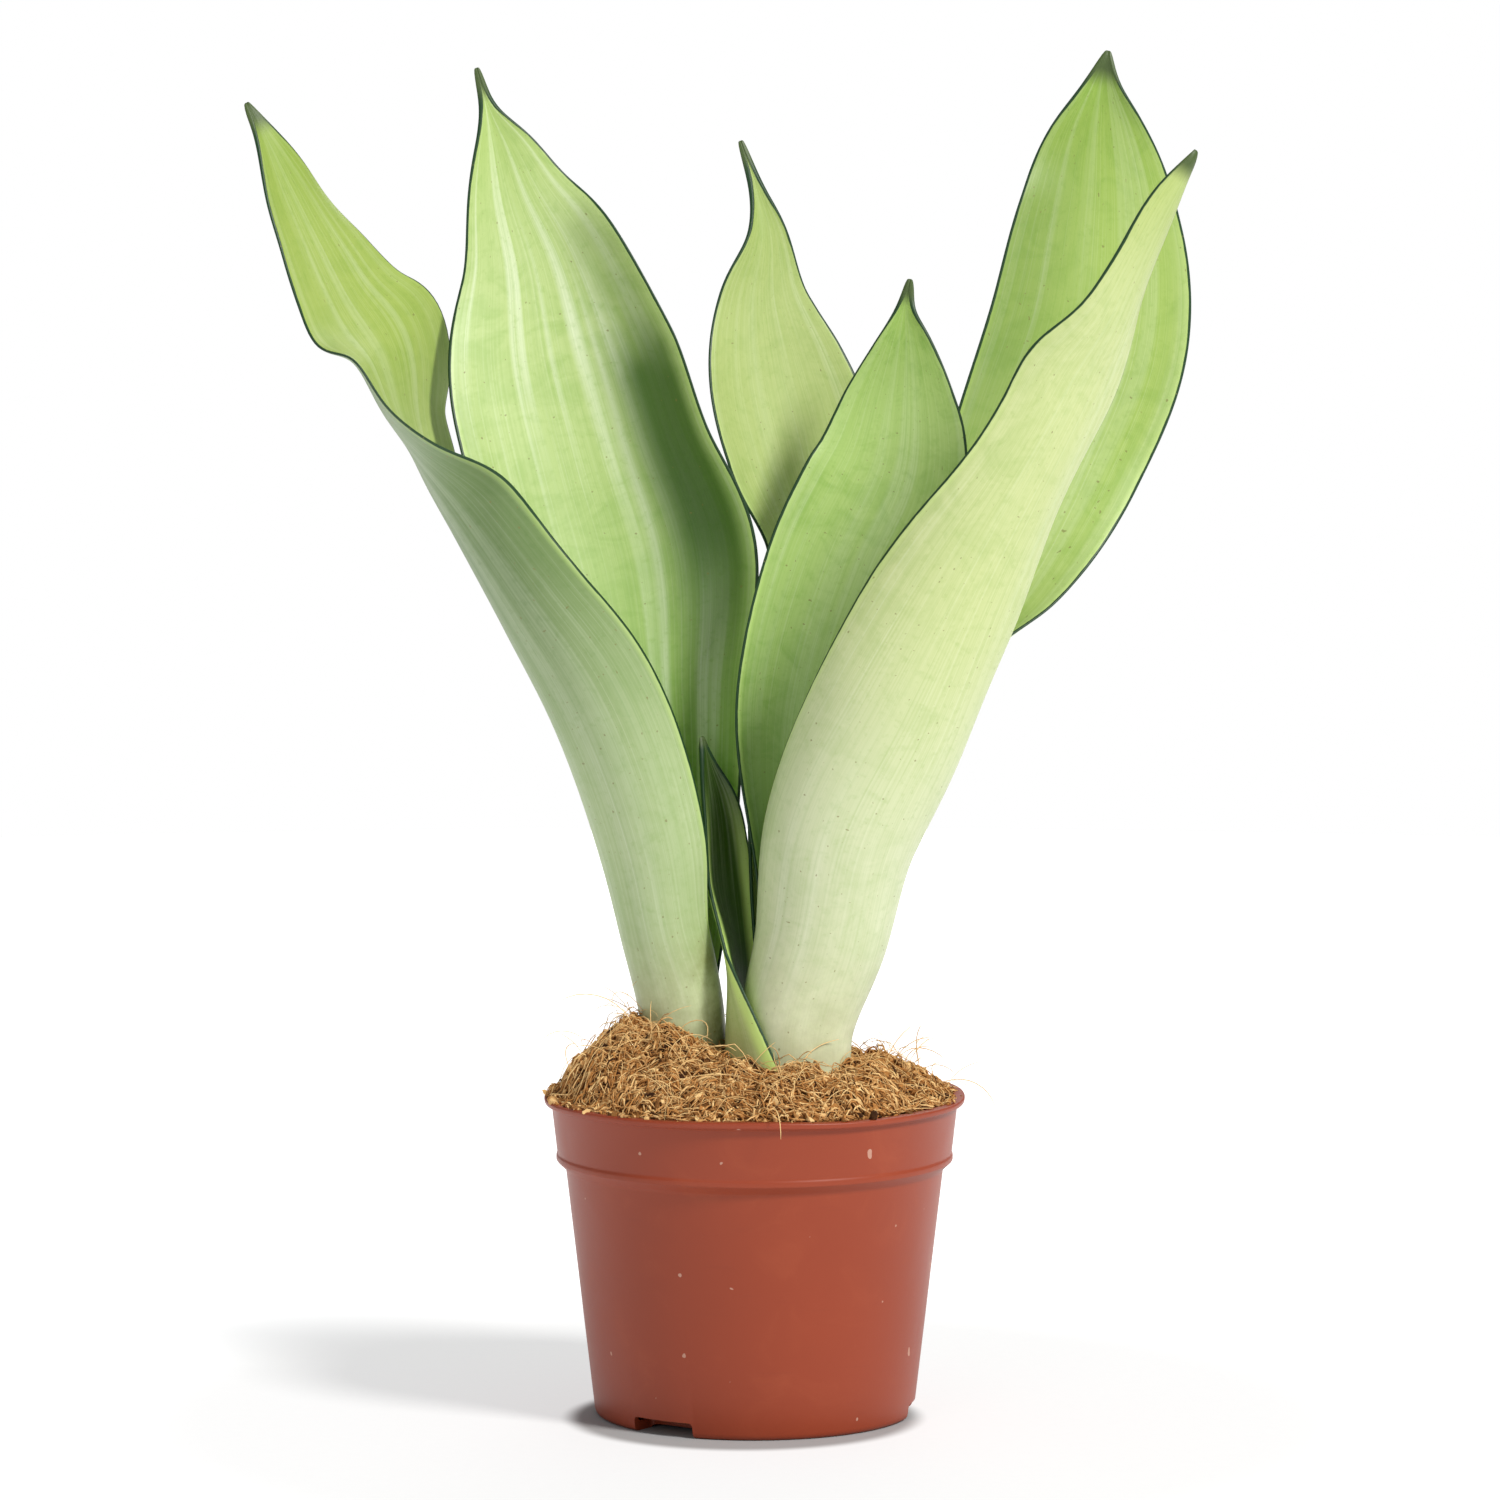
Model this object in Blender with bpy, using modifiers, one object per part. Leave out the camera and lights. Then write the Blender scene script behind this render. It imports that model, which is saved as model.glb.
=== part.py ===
"""Potted snake plant: a pale, broad-leaved snake plant with seven leaves on two shoots, in a round
plastic nursery pot heaped with coir. Metres, +Z up. The origin is the middle of the pot's floor, on
the ground, and the plant's broad side looks along -Y."""

import math
from collections import namedtuple

import bmesh
import bpy
import numpy as np
from mathutils import Matrix

MM = 0.001

# ---- Pot: a thin moulded cup with a rolled lip, a collar band and a stepped foot --------------
POT_HEIGHT = 92.0 * MM
LIP_RADIUS = 60.0 * MM
LIP_HEIGHT = 2.0 * MM
LIP_OVERHANG = 2.1 * MM  # how far the lip stands out of the collar
COLLAR_HEIGHT = 18.7 * MM
COLLAR_TAPER = 1.7 * MM  # how much narrower the collar is at its foot than at its top
STEP_HEIGHT = 2.6 * MM
STEP_INSET = 2.4 * MM  # how far the body stands in from the collar's foot
BODY_TAPER = 8.3 * MM  # how much narrower the body is at its foot than under the step
FOOT_FILLET = 2.0 * MM
EDGE_SOFTNESS = 0.5 * MM  # the small chamfer on the lip and under the step
POT_WALL = 1.3 * MM
FLOOR_THICKNESS = 1.5 * MM
FOOT_RING_WIDTH = 5.0 * MM  # how far in from the wall the floor stands on the ground
CENTRE_PAD_RADIUS = 13.0 * MM  # the flat disc in the middle that also stands on the ground
FLOOR_LIFT = 1.2 * MM  # how far the floor clears the ground between ring and pad
SHARP_DEG = 30.0  # an edge bent by more than this stays sharp
TURN_STEPS = 48

NOTCH_COUNT = 3  # drain slots through the corner of wall and floor
NOTCH_FIRST_DEG = -35.0  # from the front, positive to the right
NOTCH_HEIGHT = 4.4 * MM
NOTCH_WIDTH = 20.0 * MM
NOTCH_DEPTH = 9.0 * MM
NOTCH_ROUNDING = 1.2 * MM
DRAIN_HOLES = 6  # in a ring halfway between the centre pad and the foot ring
DRAIN_HOLE_RADIUS = 3.5 * MM
POT_COLOUR = (0.44, 0.10, 0.045)
POT_ROUGHNESS = 0.42

# ---- Plant: its sizes are in plant millimetres, so that one scale makes a bigger or smaller one
PLANT_SCALE = 1.0
PLANT_MM = PLANT_SCALE * MM
LEAF_THICKNESS = 2.4 * PLANT_MM  # in the middle of a blade
MARGIN_THICKNESS = 0.9 * PLANT_MM
LEAF_BASE_HEIGHT = 3.0 * MM  # where the leaves start, above the rim's plane
NEST_TOP = 16.0 * PLANT_MM  # up to here above the rim's plane the leaves wrap one another
NEST_GAP = 0.6 * PLANT_MM  # between two leaves that wrap one another
LEFT_CORE_RADIUS = 8.4 * PLANT_MM  # what the left shoot's innermost leaf curls to at its base
RIGHT_CORE_RADIUS = 6.6 * PLANT_MM
LEFT_SHOOT_AT = (-20.0 * PLANT_MM, 8.0 * PLANT_MM)
SHOOT_GAP = 0.4 * PLANT_MM  # between the two shoots' outermost leaves at their bases
SHOOT_BEARING = math.radians(-17.0)  # the way from the left shoot to the right one, from +X
ACROSS = 8  # facets across a blade
ALONG = 26  # facets along it
THINNING_POWER = 2.4  # how near the margin a blade starts to thin
THICKEST_FOR_WIDTH = 1.1  # a narrow tip is no thicker than this many half-widths
RIPPLE_START, RIPPLE_GROWTH = 0.2, 0.3  # shares of the blade's length from its base
RIPPLE_END, RIPPLE_FADE = 0.97, 0.15
LEAF_ROUGHNESS = 0.38

RHIZOME_RADIUS = 9.5 * PLANT_MM
RHIZOME_DEPTH = 20.0 * PLANT_MM  # from the leaves' base down to its middle line
RHIZOME_SAG = 2.0 * PLANT_MM
RHIZOME_BEND = 0.75 * RHIZOME_RADIUS  # how far from its corners the rhizome starts to turn
RHIZOME_COLOUR = (0.55, 0.36, 0.16)
RHIZOME_ROUGHNESS = 0.7

# ---- Potting coir: fills the pot and is heaped over its rim ------------------------------------
COIR_COLOUR = (0.30, 0.15, 0.055)
COIR_ROUGHNESS = 0.95
COIR_GAP = 0.3 * MM  # between the coir and whatever it lies against
PIT_CLEARANCE = 1.0 * MM  # round the outermost leaf of a shoot
COIR_EDGE_DROP = 0.8 * MM  # how far below the lip the coir meets the pot
COIR_HEAP = 12.0 * MM  # how far the middle stands above that edge
COIR_HEAP_POWER = 5.0  # how flat the heap's top is
COIR_EDGE_POWER = 18  # how near the rim the bump and the lumps fade out
COIR_BUMP = 11.0 * MM  # the coir piled against the left shoot
COIR_BUMP_FROM_SHOOT = (-20.0 * MM, -8.0 * MM)
COIR_BUMP_SPREAD = 20.0 * MM
COIR_LUMP = 0.5 * MM
COIR_STEPS = 40

# A leaf's cross-section: where its midrib is, from the middle of its shoot and up from the rim's
# plane, half its width along the surface, the way its inner face looks (0 is to the front, 90 to the
# right) and how far each half curls in from the midrib to its margin. Plant millimetres and degrees.
Section = namedtuple("Section", "x y up half_width facing curl_left curl_right")
# A margin's ripple: how far it stands out of the blade, how many waves there are from base to tip,
# and where along a wave the left and the right margin start.
Ripple = namedtuple("Ripple", "height waves left right")
# nest_widths are half the leaf's width at its base and at the top of the nest.
Leaf = namedtuple("Leaf", "name facing nest_widths colour ripple sections")
# A shoot's leaves are listed from the innermost out.
Shoot = namedtuple("Shoot", "name core_radius leaves")

LEFT_LEAVES = (
    Leaf(
        "leaf_left_inner", 25, (14, 14), (0.50, 0.66, 0.30), Ripple(1.2, 3.0, 0.4, 0.9),
        (
            Section(-7, 11, 58, 22, 25, 95, 50),
            Section(-13, 19, 111, 33, 18, 72, 58),
            Section(-19, 25, 150, 44.5, 15, 48, 66),
            Section(-27.2, 28, 178, 41.5, 12, 40, 70),
            Section(-34.7, 31, 206, 37.5, 10, 32, 62),
            Section(-41.5, 34, 236, 25.3, 8, 24, 45),
            Section(-48.5, 35.5, 254, 16.3, 8, 30, 15),
            Section(-52.8, 36.5, 268, 9.6, 8, 40, 20),
            Section(-57, 37, 280, 2.6, 10, 60, 60),
            Section(-60, 37, 291, 0.7, 10, 80, 80),
        ),
    ),
    Leaf(
        "leaf_left_outer", 140, (27, 27), (0.42, 0.56, 0.24), Ripple(1.2, 3.5, 0.1, 0.6),
        (
            Section(-13.5, -11, 45, 24.5, 135, 105, 105),
            Section(-19, -12, 69, 29, 130, 90, 85),
            Section(-35, -13, 111, 32, 122, 90, 85),
            Section(-49.2, -12, 136, 30.5, 112, 82, 66),
            Section(-64, -10, 161, 29, 102, 66, 52),
            Section(-74, -8, 178, 33.5, 94, 16, 48),
            Section(-80.5, -6.5, 192, 41, 80, 18, 14),
            Section(-86, -4, 211, 41, 68, 24, 6),
            Section(-95.5, -2.5, 226, 26, 56, 20, 0.5),
            Section(-102.8, -1, 240, 18, 48, 18, -6),
            Section(-111, 1, 256, 12, 45, 20, -20),
            Section(-118, 2, 270, 5, 40, 40, 20),
            Section(-124, 3, 281, 0.8, 40, 80, 80),
        ),
    ),
)

RIGHT_LEAVES = (
    Leaf(
        "leaf_middle", -15, (11, 12), (0.40, 0.57, 0.27), Ripple(1.0, 2.5, 0.3, 0.8),
        (
            Section(0.5, 11.4, 58, 14, -18, 92, 92),
            Section(4.5, 13.9, 111, 24, -24, 78, 78),
            Section(16.5, 16.9, 150, 26, -20, 55, 36),
            Section(28.7, 19.9, 178, 23.5, -18, 40, 24),
            Section(30.9, 21.9, 198, 16.8, -18, 32, 18),
            Section(31.7, 21.9, 214, 8.3, -20, 30, 20),
            Section(32, 22.9, 223, 3, -20, 60, 60),
            Section(33, 22.9, 231, 0.7, -10, 80, 80),
        ),
    ),
    Leaf(
        "leaf_back_middle", 20, (13, 12), (0.49, 0.63, 0.30), Ripple(1.2, 3.0, 0.2, 0.5),
        (
            Section(-6.5, 20.4, 58, 11, 20, 70, 70),
            Section(-3.5, 27.9, 107, 16, 22, 60, 60),
            Section(4.5, 43.9, 155, 18, 25, 36, 40),
            Section(-1.5, 47.9, 180, 26, 25, 40, 45),
            Section(-7.3, 50.9, 205, 23.6, 25, 34, 36),
            Section(-9.5, 52.9, 224, 15.3, 22, 30, 20),
            Section(-8.5, 55.9, 244, 6.5, 20, 55, 20),
            Section(-11, 57.9, 256, 2.6, 15, 80, 60),
            Section(-15.5, 59.9, 270, 0.7, 10, 80, 80),
        ),
    ),
    Leaf(
        "leaf_back_right", -62, (17, 16), (0.44, 0.60, 0.27), Ripple(1.2, 3.0, 0.5, 0.0),
        (
            Section(17.5, 14.9, 58, 16, -62, 80, 80),
            Section(34.5, 31.9, 103, 19, -30, 95, 95),
            Section(45.5, 37.9, 125, 22, -20, 85, 85),
            Section(56, 43.9, 145, 25.5, -6, 66, 52),
            Section(71.5, 51.9, 182, 31, 4, 46, 12),
            Section(83.8, 54.9, 215, 31.5, 8, 34, 2),
            Section(87.5, 57.9, 250, 24.4, 6, 26, 8),
            Section(88.5, 59.9, 275, 13.5, 0, 20, 20),
            Section(89.5, 59.9, 288, 5.2, 0, 60, 60),
            Section(91, 59.9, 296, 0.7, 0, 80, 80),
        ),
    ),
    Leaf(
        "leaf_right_outer", 185, (30, 30), (0.58, 0.70, 0.38), Ripple(1.6, 4.0, 0.7, 0.2),
        (
            Section(9.5, -17.6, 45, 31.5, 187, 96, 96),
            Section(15.5, -22.1, 73, 33.5, 190, 86, 88),
            Section(32.1, -26.1, 108, 33, 202, 68, 72),
            Section(53, -31.1, 153, 25.5, 212, 50, 50),
            Section(73.5, -34.1, 192, 19.5, 221, 37, 37),
            Section(80.5, -34.1, 206, 18.5, 225, 34, 34),
            Section(87.5, -35.1, 219, 14, 229, 30, 28),
            Section(93.5, -35.1, 233, 11.5, 232, 28, 20),
            Section(103.5, -34.1, 254, 7, 235, 35, 35),
            Section(111, -33.1, 268, 0.8, 235, 60, 60),
        ),
    ),
    Leaf(
        "leaf_small", 90, (30, 21), (0.46, 0.63, 0.25), Ripple(0.5, 2.0, 0.0, 0.5),
        (
            Section(-18, 5.9, 37, 13.5, 80, 8, 65),
            Section(-21.5, 12.9, 57, 13, 62, 30, 58),
            Section(-23.5, 12.9, 82, 8, 50, 50, 55),
            Section(-25.5, 11.9, 94, 3, 45, 60, 60),
            Section(-26.5, 11.9, 101, 0.6, 45, 80, 80),
        ),
    ),
)

LEFT_SHOOT = Shoot("left", LEFT_CORE_RADIUS, LEFT_LEAVES)
RIGHT_SHOOT = Shoot("right", RIGHT_CORE_RADIUS, RIGHT_LEAVES)
SHOOTS = (LEFT_SHOOT, RIGHT_SHOOT)


# ---- Scene helpers -------------------------------------------------------------------------------
def clear_scene():
    for obj in list(bpy.data.objects):
        bpy.data.objects.remove(obj, do_unlink=True)


def new_collection(name):
    collection = bpy.data.collections.new(name)
    bpy.context.scene.collection.children.link(collection)
    return collection


def material(name, colour, roughness):
    made = bpy.data.materials.new(name)
    made.use_nodes = True
    shader = made.node_tree.nodes["Principled BSDF"]
    shader.inputs["Base Color"].default_value = (*colour, 1.0)
    shader.inputs["Roughness"].default_value = roughness
    shader.inputs["Metallic"].default_value = 0.0
    return made


def move_to(obj, collection):
    for old in list(obj.users_collection):
        old.objects.unlink(obj)
    collection.objects.link(obj)
    return obj


def make_cutter(obj, cutters):
    obj.hide_render = True
    obj.display_type = "WIRE"
    return move_to(obj, cutters)


def cut(obj, cutter):
    modifier = obj.modifiers.new("cut_" + cutter.name, "BOOLEAN")
    modifier.operation = "DIFFERENCE"
    modifier.object = cutter


def baked(obj):
    """The object with its modifiers, or its curve, turned into a plain closed mesh."""
    graph = bpy.context.evaluated_depsgraph_get()
    bpy.context.view_layer.update()
    mesh = bpy.data.meshes.new_from_object(obj.evaluated_get(graph))
    shape = bmesh.new()
    shape.from_mesh(mesh)
    bmesh.ops.remove_doubles(shape, verts=shape.verts, dist=1e-6)
    shape.to_mesh(mesh)
    shape.free()
    name, place, collection = obj.name, obj.matrix_world.copy(), obj.users_collection[0]
    bpy.data.objects.remove(obj, do_unlink=True)
    solid = bpy.data.objects.new(name, mesh)
    solid.matrix_world = place
    collection.objects.link(solid)
    return solid


def turned(name, profile, steps, collection):
    """A solid of revolution about Z from (radius, height) points that run down its outer side."""
    mesh = bpy.data.meshes.new(name)
    points = [(radius, 0.0, height) for radius, height in profile]
    edges = [(i, i + 1) for i in range(len(points) - 1)]
    mesh.from_pydata(points, edges, [])
    obj = bpy.data.objects.new(name, mesh)
    collection.objects.link(obj)
    screw = obj.modifiers.new("turn", "SCREW")
    screw.steps = screw.render_steps = steps
    screw.use_merge_vertices = True
    screw.merge_threshold = 1e-5
    return obj


def from_front(radius, degrees):
    """The level place at a radius and an angle from the front, positive to the right."""
    angle = math.radians(degrees)
    return radius * math.sin(angle), -radius * math.cos(angle)


# ---- Pot -------------------------------------------------------------------------------------------
def collar_top_radius():
    return LIP_RADIUS - LIP_OVERHANG


def collar_foot_radius():
    return collar_top_radius() - COLLAR_TAPER


def body_top_radius():
    return collar_foot_radius() - STEP_INSET


def body_foot_radius():
    return body_top_radius() - BODY_TAPER


def collar_foot_height():
    return POT_HEIGHT - COLLAR_HEIGHT


def body_top_height():
    return collar_foot_height() - STEP_HEIGHT


def floor_top_height():
    return FLOOR_LIFT + FLOOR_THICKNESS


def foot_ring_inner_radius():
    return body_foot_radius() - FOOT_FILLET - FOOT_RING_WIDTH


def pot_inner_radius(height):
    """The radius of the pot's inner wall, at a height below the step."""
    return body_foot_radius() + BODY_TAPER * height / body_top_height() - POT_WALL


def pot_profile():
    """From the middle of the floor up the inner wall, over the lip and down the outer side."""
    floor_top = floor_top_height()
    ring_inner = foot_ring_inner_radius()
    lip_foot = POT_HEIGHT - LIP_HEIGHT
    soft = EDGE_SOFTNESS
    return [
        (0.0, floor_top),
        (pot_inner_radius(floor_top) - FOOT_FILLET, floor_top),
        (pot_inner_radius(floor_top + FOOT_FILLET), floor_top + FOOT_FILLET),
        (pot_inner_radius(body_top_height()), body_top_height()),
        (collar_foot_radius() - POT_WALL, collar_foot_height()),
        (collar_top_radius() - POT_WALL, POT_HEIGHT - soft),
        (collar_top_radius() - POT_WALL + soft, POT_HEIGHT),
        (LIP_RADIUS - soft, POT_HEIGHT),
        (LIP_RADIUS, POT_HEIGHT - soft),
        (LIP_RADIUS, lip_foot + soft),
        (LIP_RADIUS - soft, lip_foot),
        (collar_top_radius(), lip_foot - soft),
        (collar_foot_radius(), collar_foot_height()),
        (body_top_radius() + soft, body_top_height() + soft),
        (body_top_radius(), body_top_height()),
        (body_foot_radius(), FOOT_FILLET),
        (body_foot_radius() - 0.3 * FOOT_FILLET, 0.3 * FOOT_FILLET),
        (body_foot_radius() - FOOT_FILLET, 0.0),
        (ring_inner, 0.0),
        (ring_inner - FLOOR_LIFT, FLOOR_LIFT),
        (CENTRE_PAD_RADIUS + FLOOR_LIFT, FLOOR_LIFT),
        (CENTRE_PAD_RADIUS, 0.0),
        (0.0, 0.0),
    ]


def notch_cutter(number, cutters):
    """A block through the corner of wall and floor, with its edges rounded."""
    degrees = NOTCH_FIRST_DEG + number * 360.0 / NOTCH_COUNT
    outer = body_foot_radius() + 4 * POT_WALL
    inner = body_foot_radius() - NOTCH_DEPTH
    below = 5 * MM
    bpy.ops.mesh.primitive_cube_add(size=1.0)
    obj = bpy.context.active_object
    obj.name = f"notch_{number}"
    obj.data.transform(Matrix.Diagonal((outer - inner, NOTCH_WIDTH, NOTCH_HEIGHT + below, 1.0)))
    obj.location = (*from_front((outer + inner) / 2, degrees), (NOTCH_HEIGHT - below) / 2)
    obj.rotation_euler = (0.0, 0.0, math.radians(degrees - 90.0))
    bevel = obj.modifiers.new("round", "BEVEL")
    bevel.width = NOTCH_ROUNDING
    bevel.segments = 3
    return make_cutter(obj, cutters)


def drain_cutter(number, cutters):
    degrees = NOTCH_FIRST_DEG + (number + 0.5) * 360.0 / DRAIN_HOLES
    circle = (CENTRE_PAD_RADIUS + foot_ring_inner_radius()) / 2
    bpy.ops.mesh.primitive_cylinder_add(
        vertices=16,
        radius=DRAIN_HOLE_RADIUS,
        depth=6 * FLOOR_THICKNESS,
        location=(*from_front(circle, degrees), floor_top_height() / 2),
    )
    obj = bpy.context.active_object
    obj.name = f"drain_{number}"
    return make_cutter(obj, cutters)


def build_pot(plant, cutters):
    pot = turned("pot", pot_profile(), TURN_STEPS, plant)
    for number in range(NOTCH_COUNT):
        cut(pot, notch_cutter(number, cutters))
    for number in range(DRAIN_HOLES):
        cut(pot, drain_cutter(number, cutters))
    pot.data.materials.append(material("terracotta_plastic", POT_COLOUR, POT_ROUGHNESS))


# ---- Shoots: where the leaves are wrapped in one another ----------------------------------------
def nest_radius(shoot, level):
    """The radius that a leaf's base curls to, with level counted from the innermost leaf out."""
    return shoot.core_radius + level * (LEAF_THICKNESS + NEST_GAP)


def outermost(shoot):
    return len(shoot.leaves) - 1


def shoot_middle(shoot):
    """The right shoot stands as far from the left one as their outermost leaves need."""
    if shoot is LEFT_SHOOT:
        return LEFT_SHOOT_AT
    apart = sum(nest_radius(each, outermost(each)) for each in SHOOTS) + LEAF_THICKNESS + SHOOT_GAP
    left_x, left_y = LEFT_SHOOT_AT
    return left_x + apart * math.cos(SHOOT_BEARING), left_y + apart * math.sin(SHOOT_BEARING)


# ---- Leaves ----------------------------------------------------------------------------------------
def cubic(knots, values, at):
    """A smooth curve through the values, as a cubic whose slopes come from each point's neighbours."""
    slopes = np.gradient(values, knots, axis=0)
    index = np.clip(np.searchsorted(knots, at, side="right") - 1, 0, len(knots) - 2)
    span = (knots[index + 1] - knots[index])[:, None]
    s = (at - knots[index])[:, None] / span
    return (
        (2 * s**3 - 3 * s**2 + 1) * values[index]
        + (s**3 - 2 * s**2 + s) * span * slopes[index]
        + (3 * s**2 - 2 * s**3) * values[index + 1]
        + (s**3 - s**2) * span * slopes[index + 1]
    )


def looking(facing):
    """The level direction that a leaf's inner face looks in."""
    angle = np.radians(facing)
    return np.stack([np.sin(angle), -np.cos(angle), np.zeros_like(angle)], axis=-1)


def nest_sections(shoot, level):
    """The wrapped part: the leaf's base and the top of its nest, both round the shoot's middle."""
    leaf = shoot.leaves[level]
    radius = nest_radius(shoot, level)
    ahead = looking(leaf.facing)
    x, y = (middle - radius * toward for middle, toward in zip(shoot_middle(shoot), ahead))
    sections = []
    for up, plant_mm in zip((LEAF_BASE_HEIGHT, NEST_TOP), leaf.nest_widths):
        half_width = plant_mm * PLANT_MM
        curl = math.degrees(half_width / radius)
        sections.append((x, y, POT_HEIGHT + up, half_width, leaf.facing, curl, curl))
    return sections


def leaf_table(shoot, level):
    x, y = shoot_middle(shoot)
    free = [
        (
            x + section.x * PLANT_MM,
            y + section.y * PLANT_MM,
            POT_HEIGHT + section.up * PLANT_MM,
            section.half_width * PLANT_MM,
            section.facing,
            section.curl_left,
            section.curl_right,
        )
        for section in shoot.leaves[level].sections
    ]
    return np.array(nest_sections(shoot, level) + free)


def leaf_rows(shoot, level, rows):
    """For each row from base to tip: the midrib, the blade's own axes, half-width and curls."""
    table = leaf_table(shoot, level)
    steps = np.linalg.norm(np.diff(table[:, :3], axis=0), axis=1)
    knots = np.concatenate([[0.0], np.cumsum(steps)])
    at = rows * knots[-1]
    values = cubic(knots, table, at)
    step = 0.5 * MM
    ahead = cubic(knots, table[:, :3], np.minimum(at + step, knots[-1]))
    behind = cubic(knots, table[:, :3], np.maximum(at - step, 0.0))
    along = ahead - behind
    along /= np.linalg.norm(along, axis=1)[:, None]
    inward = looking(values[:, 4])
    inward -= np.sum(inward * along, axis=1)[:, None] * along
    inward /= np.linalg.norm(inward, axis=1)[:, None]
    across = np.cross(along, inward)
    return values[:, :3], inward, across, values[:, 3], np.radians(values[:, 5:7])


def leaf_points(shoot, level, rows, swell):
    """Points of the blade's middle surface, one line of ACROSS + 1 points for each row."""
    midrib, inward, across, half_width, curls = leaf_rows(shoot, level, rows)
    ripple = shoot.leaves[level].ripple
    grown = np.clip((rows - RIPPLE_START) / RIPPLE_GROWTH, 0.0, 1.0)
    grown = grown * np.clip((RIPPLE_END - rows) / RIPPLE_FADE, 0.0, 1.0)
    points = []
    for u in np.linspace(-1.0, 1.0, ACROSS + 1):
        sense, curl, start = (-1, curls[:, 0], ripple.left) if u < 0 else (1, curls[:, 1], ripple.right)
        radius = half_width / np.where(np.abs(curl) < 1e-6, 1e-6, curl)
        angle = curl * abs(u) * (1.0 + swell / half_width)
        out = sense * radius * np.sin(angle)
        rise = radius * (1.0 - np.cos(angle))
        wave = np.sin(2 * np.pi * (ripple.waves * rows + start))
        rise = rise + ripple.height * PLANT_MM * wave * grown * abs(u) ** 3
        points.append(midrib + out[:, None] * across + rise[:, None] * inward)
    return np.stack(points, axis=1), half_width


def grid_order(mesh):
    """A grid's vertex numbers, in rows from bottom to top and from left to right in each."""
    places = [(round(vertex.co.y, 5), round(vertex.co.x, 5)) for vertex in mesh.vertices]
    return sorted(range(len(places)), key=lambda index: places[index])


def blade(name, shoot, level, rows, collection, swell=0.0, sunk=0.0):
    """A grid bent to the leaf's middle surface and given its thickness, thinner to the margins."""
    bpy.ops.mesh.primitive_grid_add(x_subdivisions=ACROSS, y_subdivisions=len(rows) - 1, size=2.0)
    obj = bpy.context.active_object
    obj.name = name
    points, half_width = leaf_points(shoot, level, rows, swell)
    points[0, :, 2] -= sunk
    points = points.reshape(-1, 3)
    group = obj.vertex_groups.new(name="thickness")
    full = LEAF_THICKNESS + 2 * swell
    for place, index in enumerate(grid_order(obj.data)):
        obj.data.vertices[index].co = points[place]
        row, column = divmod(place, ACROSS + 1)
        to_margin = abs(2.0 * column / ACROSS - 1.0)
        wanted = MARGIN_THICKNESS + (LEAF_THICKNESS - MARGIN_THICKNESS) * (1.0 - to_margin**THINNING_POWER)
        wanted = min(wanted, THICKEST_FOR_WIDTH * half_width[row]) + 2 * swell
        group.add([index], wanted / full, "REPLACE")
    solid = obj.modifiers.new("thickness", "SOLIDIFY")
    solid.thickness = full
    solid.offset = 0.0
    solid.vertex_group = group.name
    return move_to(obj, collection)


def build_leaf(shoot, level, plant):
    leaf = shoot.leaves[level]
    obj = blade(leaf.name, shoot, level, np.linspace(0.0, 1.0, ALONG + 1), plant)
    obj.data.materials.append(material(leaf.name, leaf.colour, LEAF_ROUGHNESS))


# ---- Rhizome ---------------------------------------------------------------------------------------
def rhizome_tube(name, radius, rise, collection):
    """The underground stem: up to one shoot, along under the coir and up to the other."""
    top = POT_HEIGHT + LEAF_BASE_HEIGHT - COIR_GAP + rise
    low = POT_HEIGHT + LEAF_BASE_HEIGHT - RHIZOME_DEPTH
    bend = RHIZOME_BEND
    (lx, ly), (rx, ry) = (shoot_middle(shoot) for shoot in SHOOTS)
    span = math.hypot(rx - lx, ry - ly)
    ux, uy = (rx - lx) / span, (ry - ly) / span
    route = [
        (lx, ly, top),
        (lx, ly, low + bend),
        (lx + bend * ux, ly + bend * uy, low),
        ((lx + rx) / 2, (ly + ry) / 2, low - RHIZOME_SAG),
        (rx - bend * ux, ry - bend * uy, low),
        (rx, ry, low + bend),
        (rx, ry, top),
    ]
    curve = bpy.data.curves.new(name, "CURVE")
    curve.dimensions = "3D"
    curve.bevel_depth = radius
    curve.bevel_resolution = 2
    curve.use_fill_caps = True
    spline = curve.splines.new("POLY")
    spline.points.add(len(route) - 1)
    for point, place in zip(spline.points, route):
        point.co = (*place, 1.0)
    obj = bpy.data.objects.new(name, curve)
    collection.objects.link(obj)
    return baked(obj)


def build_rhizome(plant):
    obj = rhizome_tube("rhizome", RHIZOME_RADIUS, 0.0, plant)
    obj.data.materials.append(material("rhizome", RHIZOME_COLOUR, RHIZOME_ROUGHNESS))


# ---- Potting coir ----------------------------------------------------------------------------------
def coir_edge_radius():
    return collar_top_radius() - POT_WALL - 2 * COIR_GAP


def coir_edge_height():
    return POT_HEIGHT - COIR_EDGE_DROP


def above_coir():
    """A height that nothing of the coir reaches."""
    return POT_HEIGHT + COIR_HEAP + COIR_BUMP + 2 * MM


def coir_profile():
    """From the heap's top out to the rim, down inside the wall and in over the floor."""
    clear = 2 * COIR_GAP
    floor = floor_top_height() + COIR_GAP
    heap = [
        (
            coir_edge_radius() * share,
            coir_edge_height() + COIR_HEAP * (1.0 - share**COIR_HEAP_POWER),
        )
        for share in np.linspace(0.0, 1.0, 9)
    ]
    return heap + [
        (collar_foot_radius() - POT_WALL - clear, collar_foot_height()),
        (pot_inner_radius(body_top_height()) - clear, body_top_height()),
        (pot_inner_radius(floor + FOOT_FILLET) - clear, floor + FOOT_FILLET),
        (pot_inner_radius(floor) - FOOT_FILLET - clear, floor),
        (0.0, floor),
    ]


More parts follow.
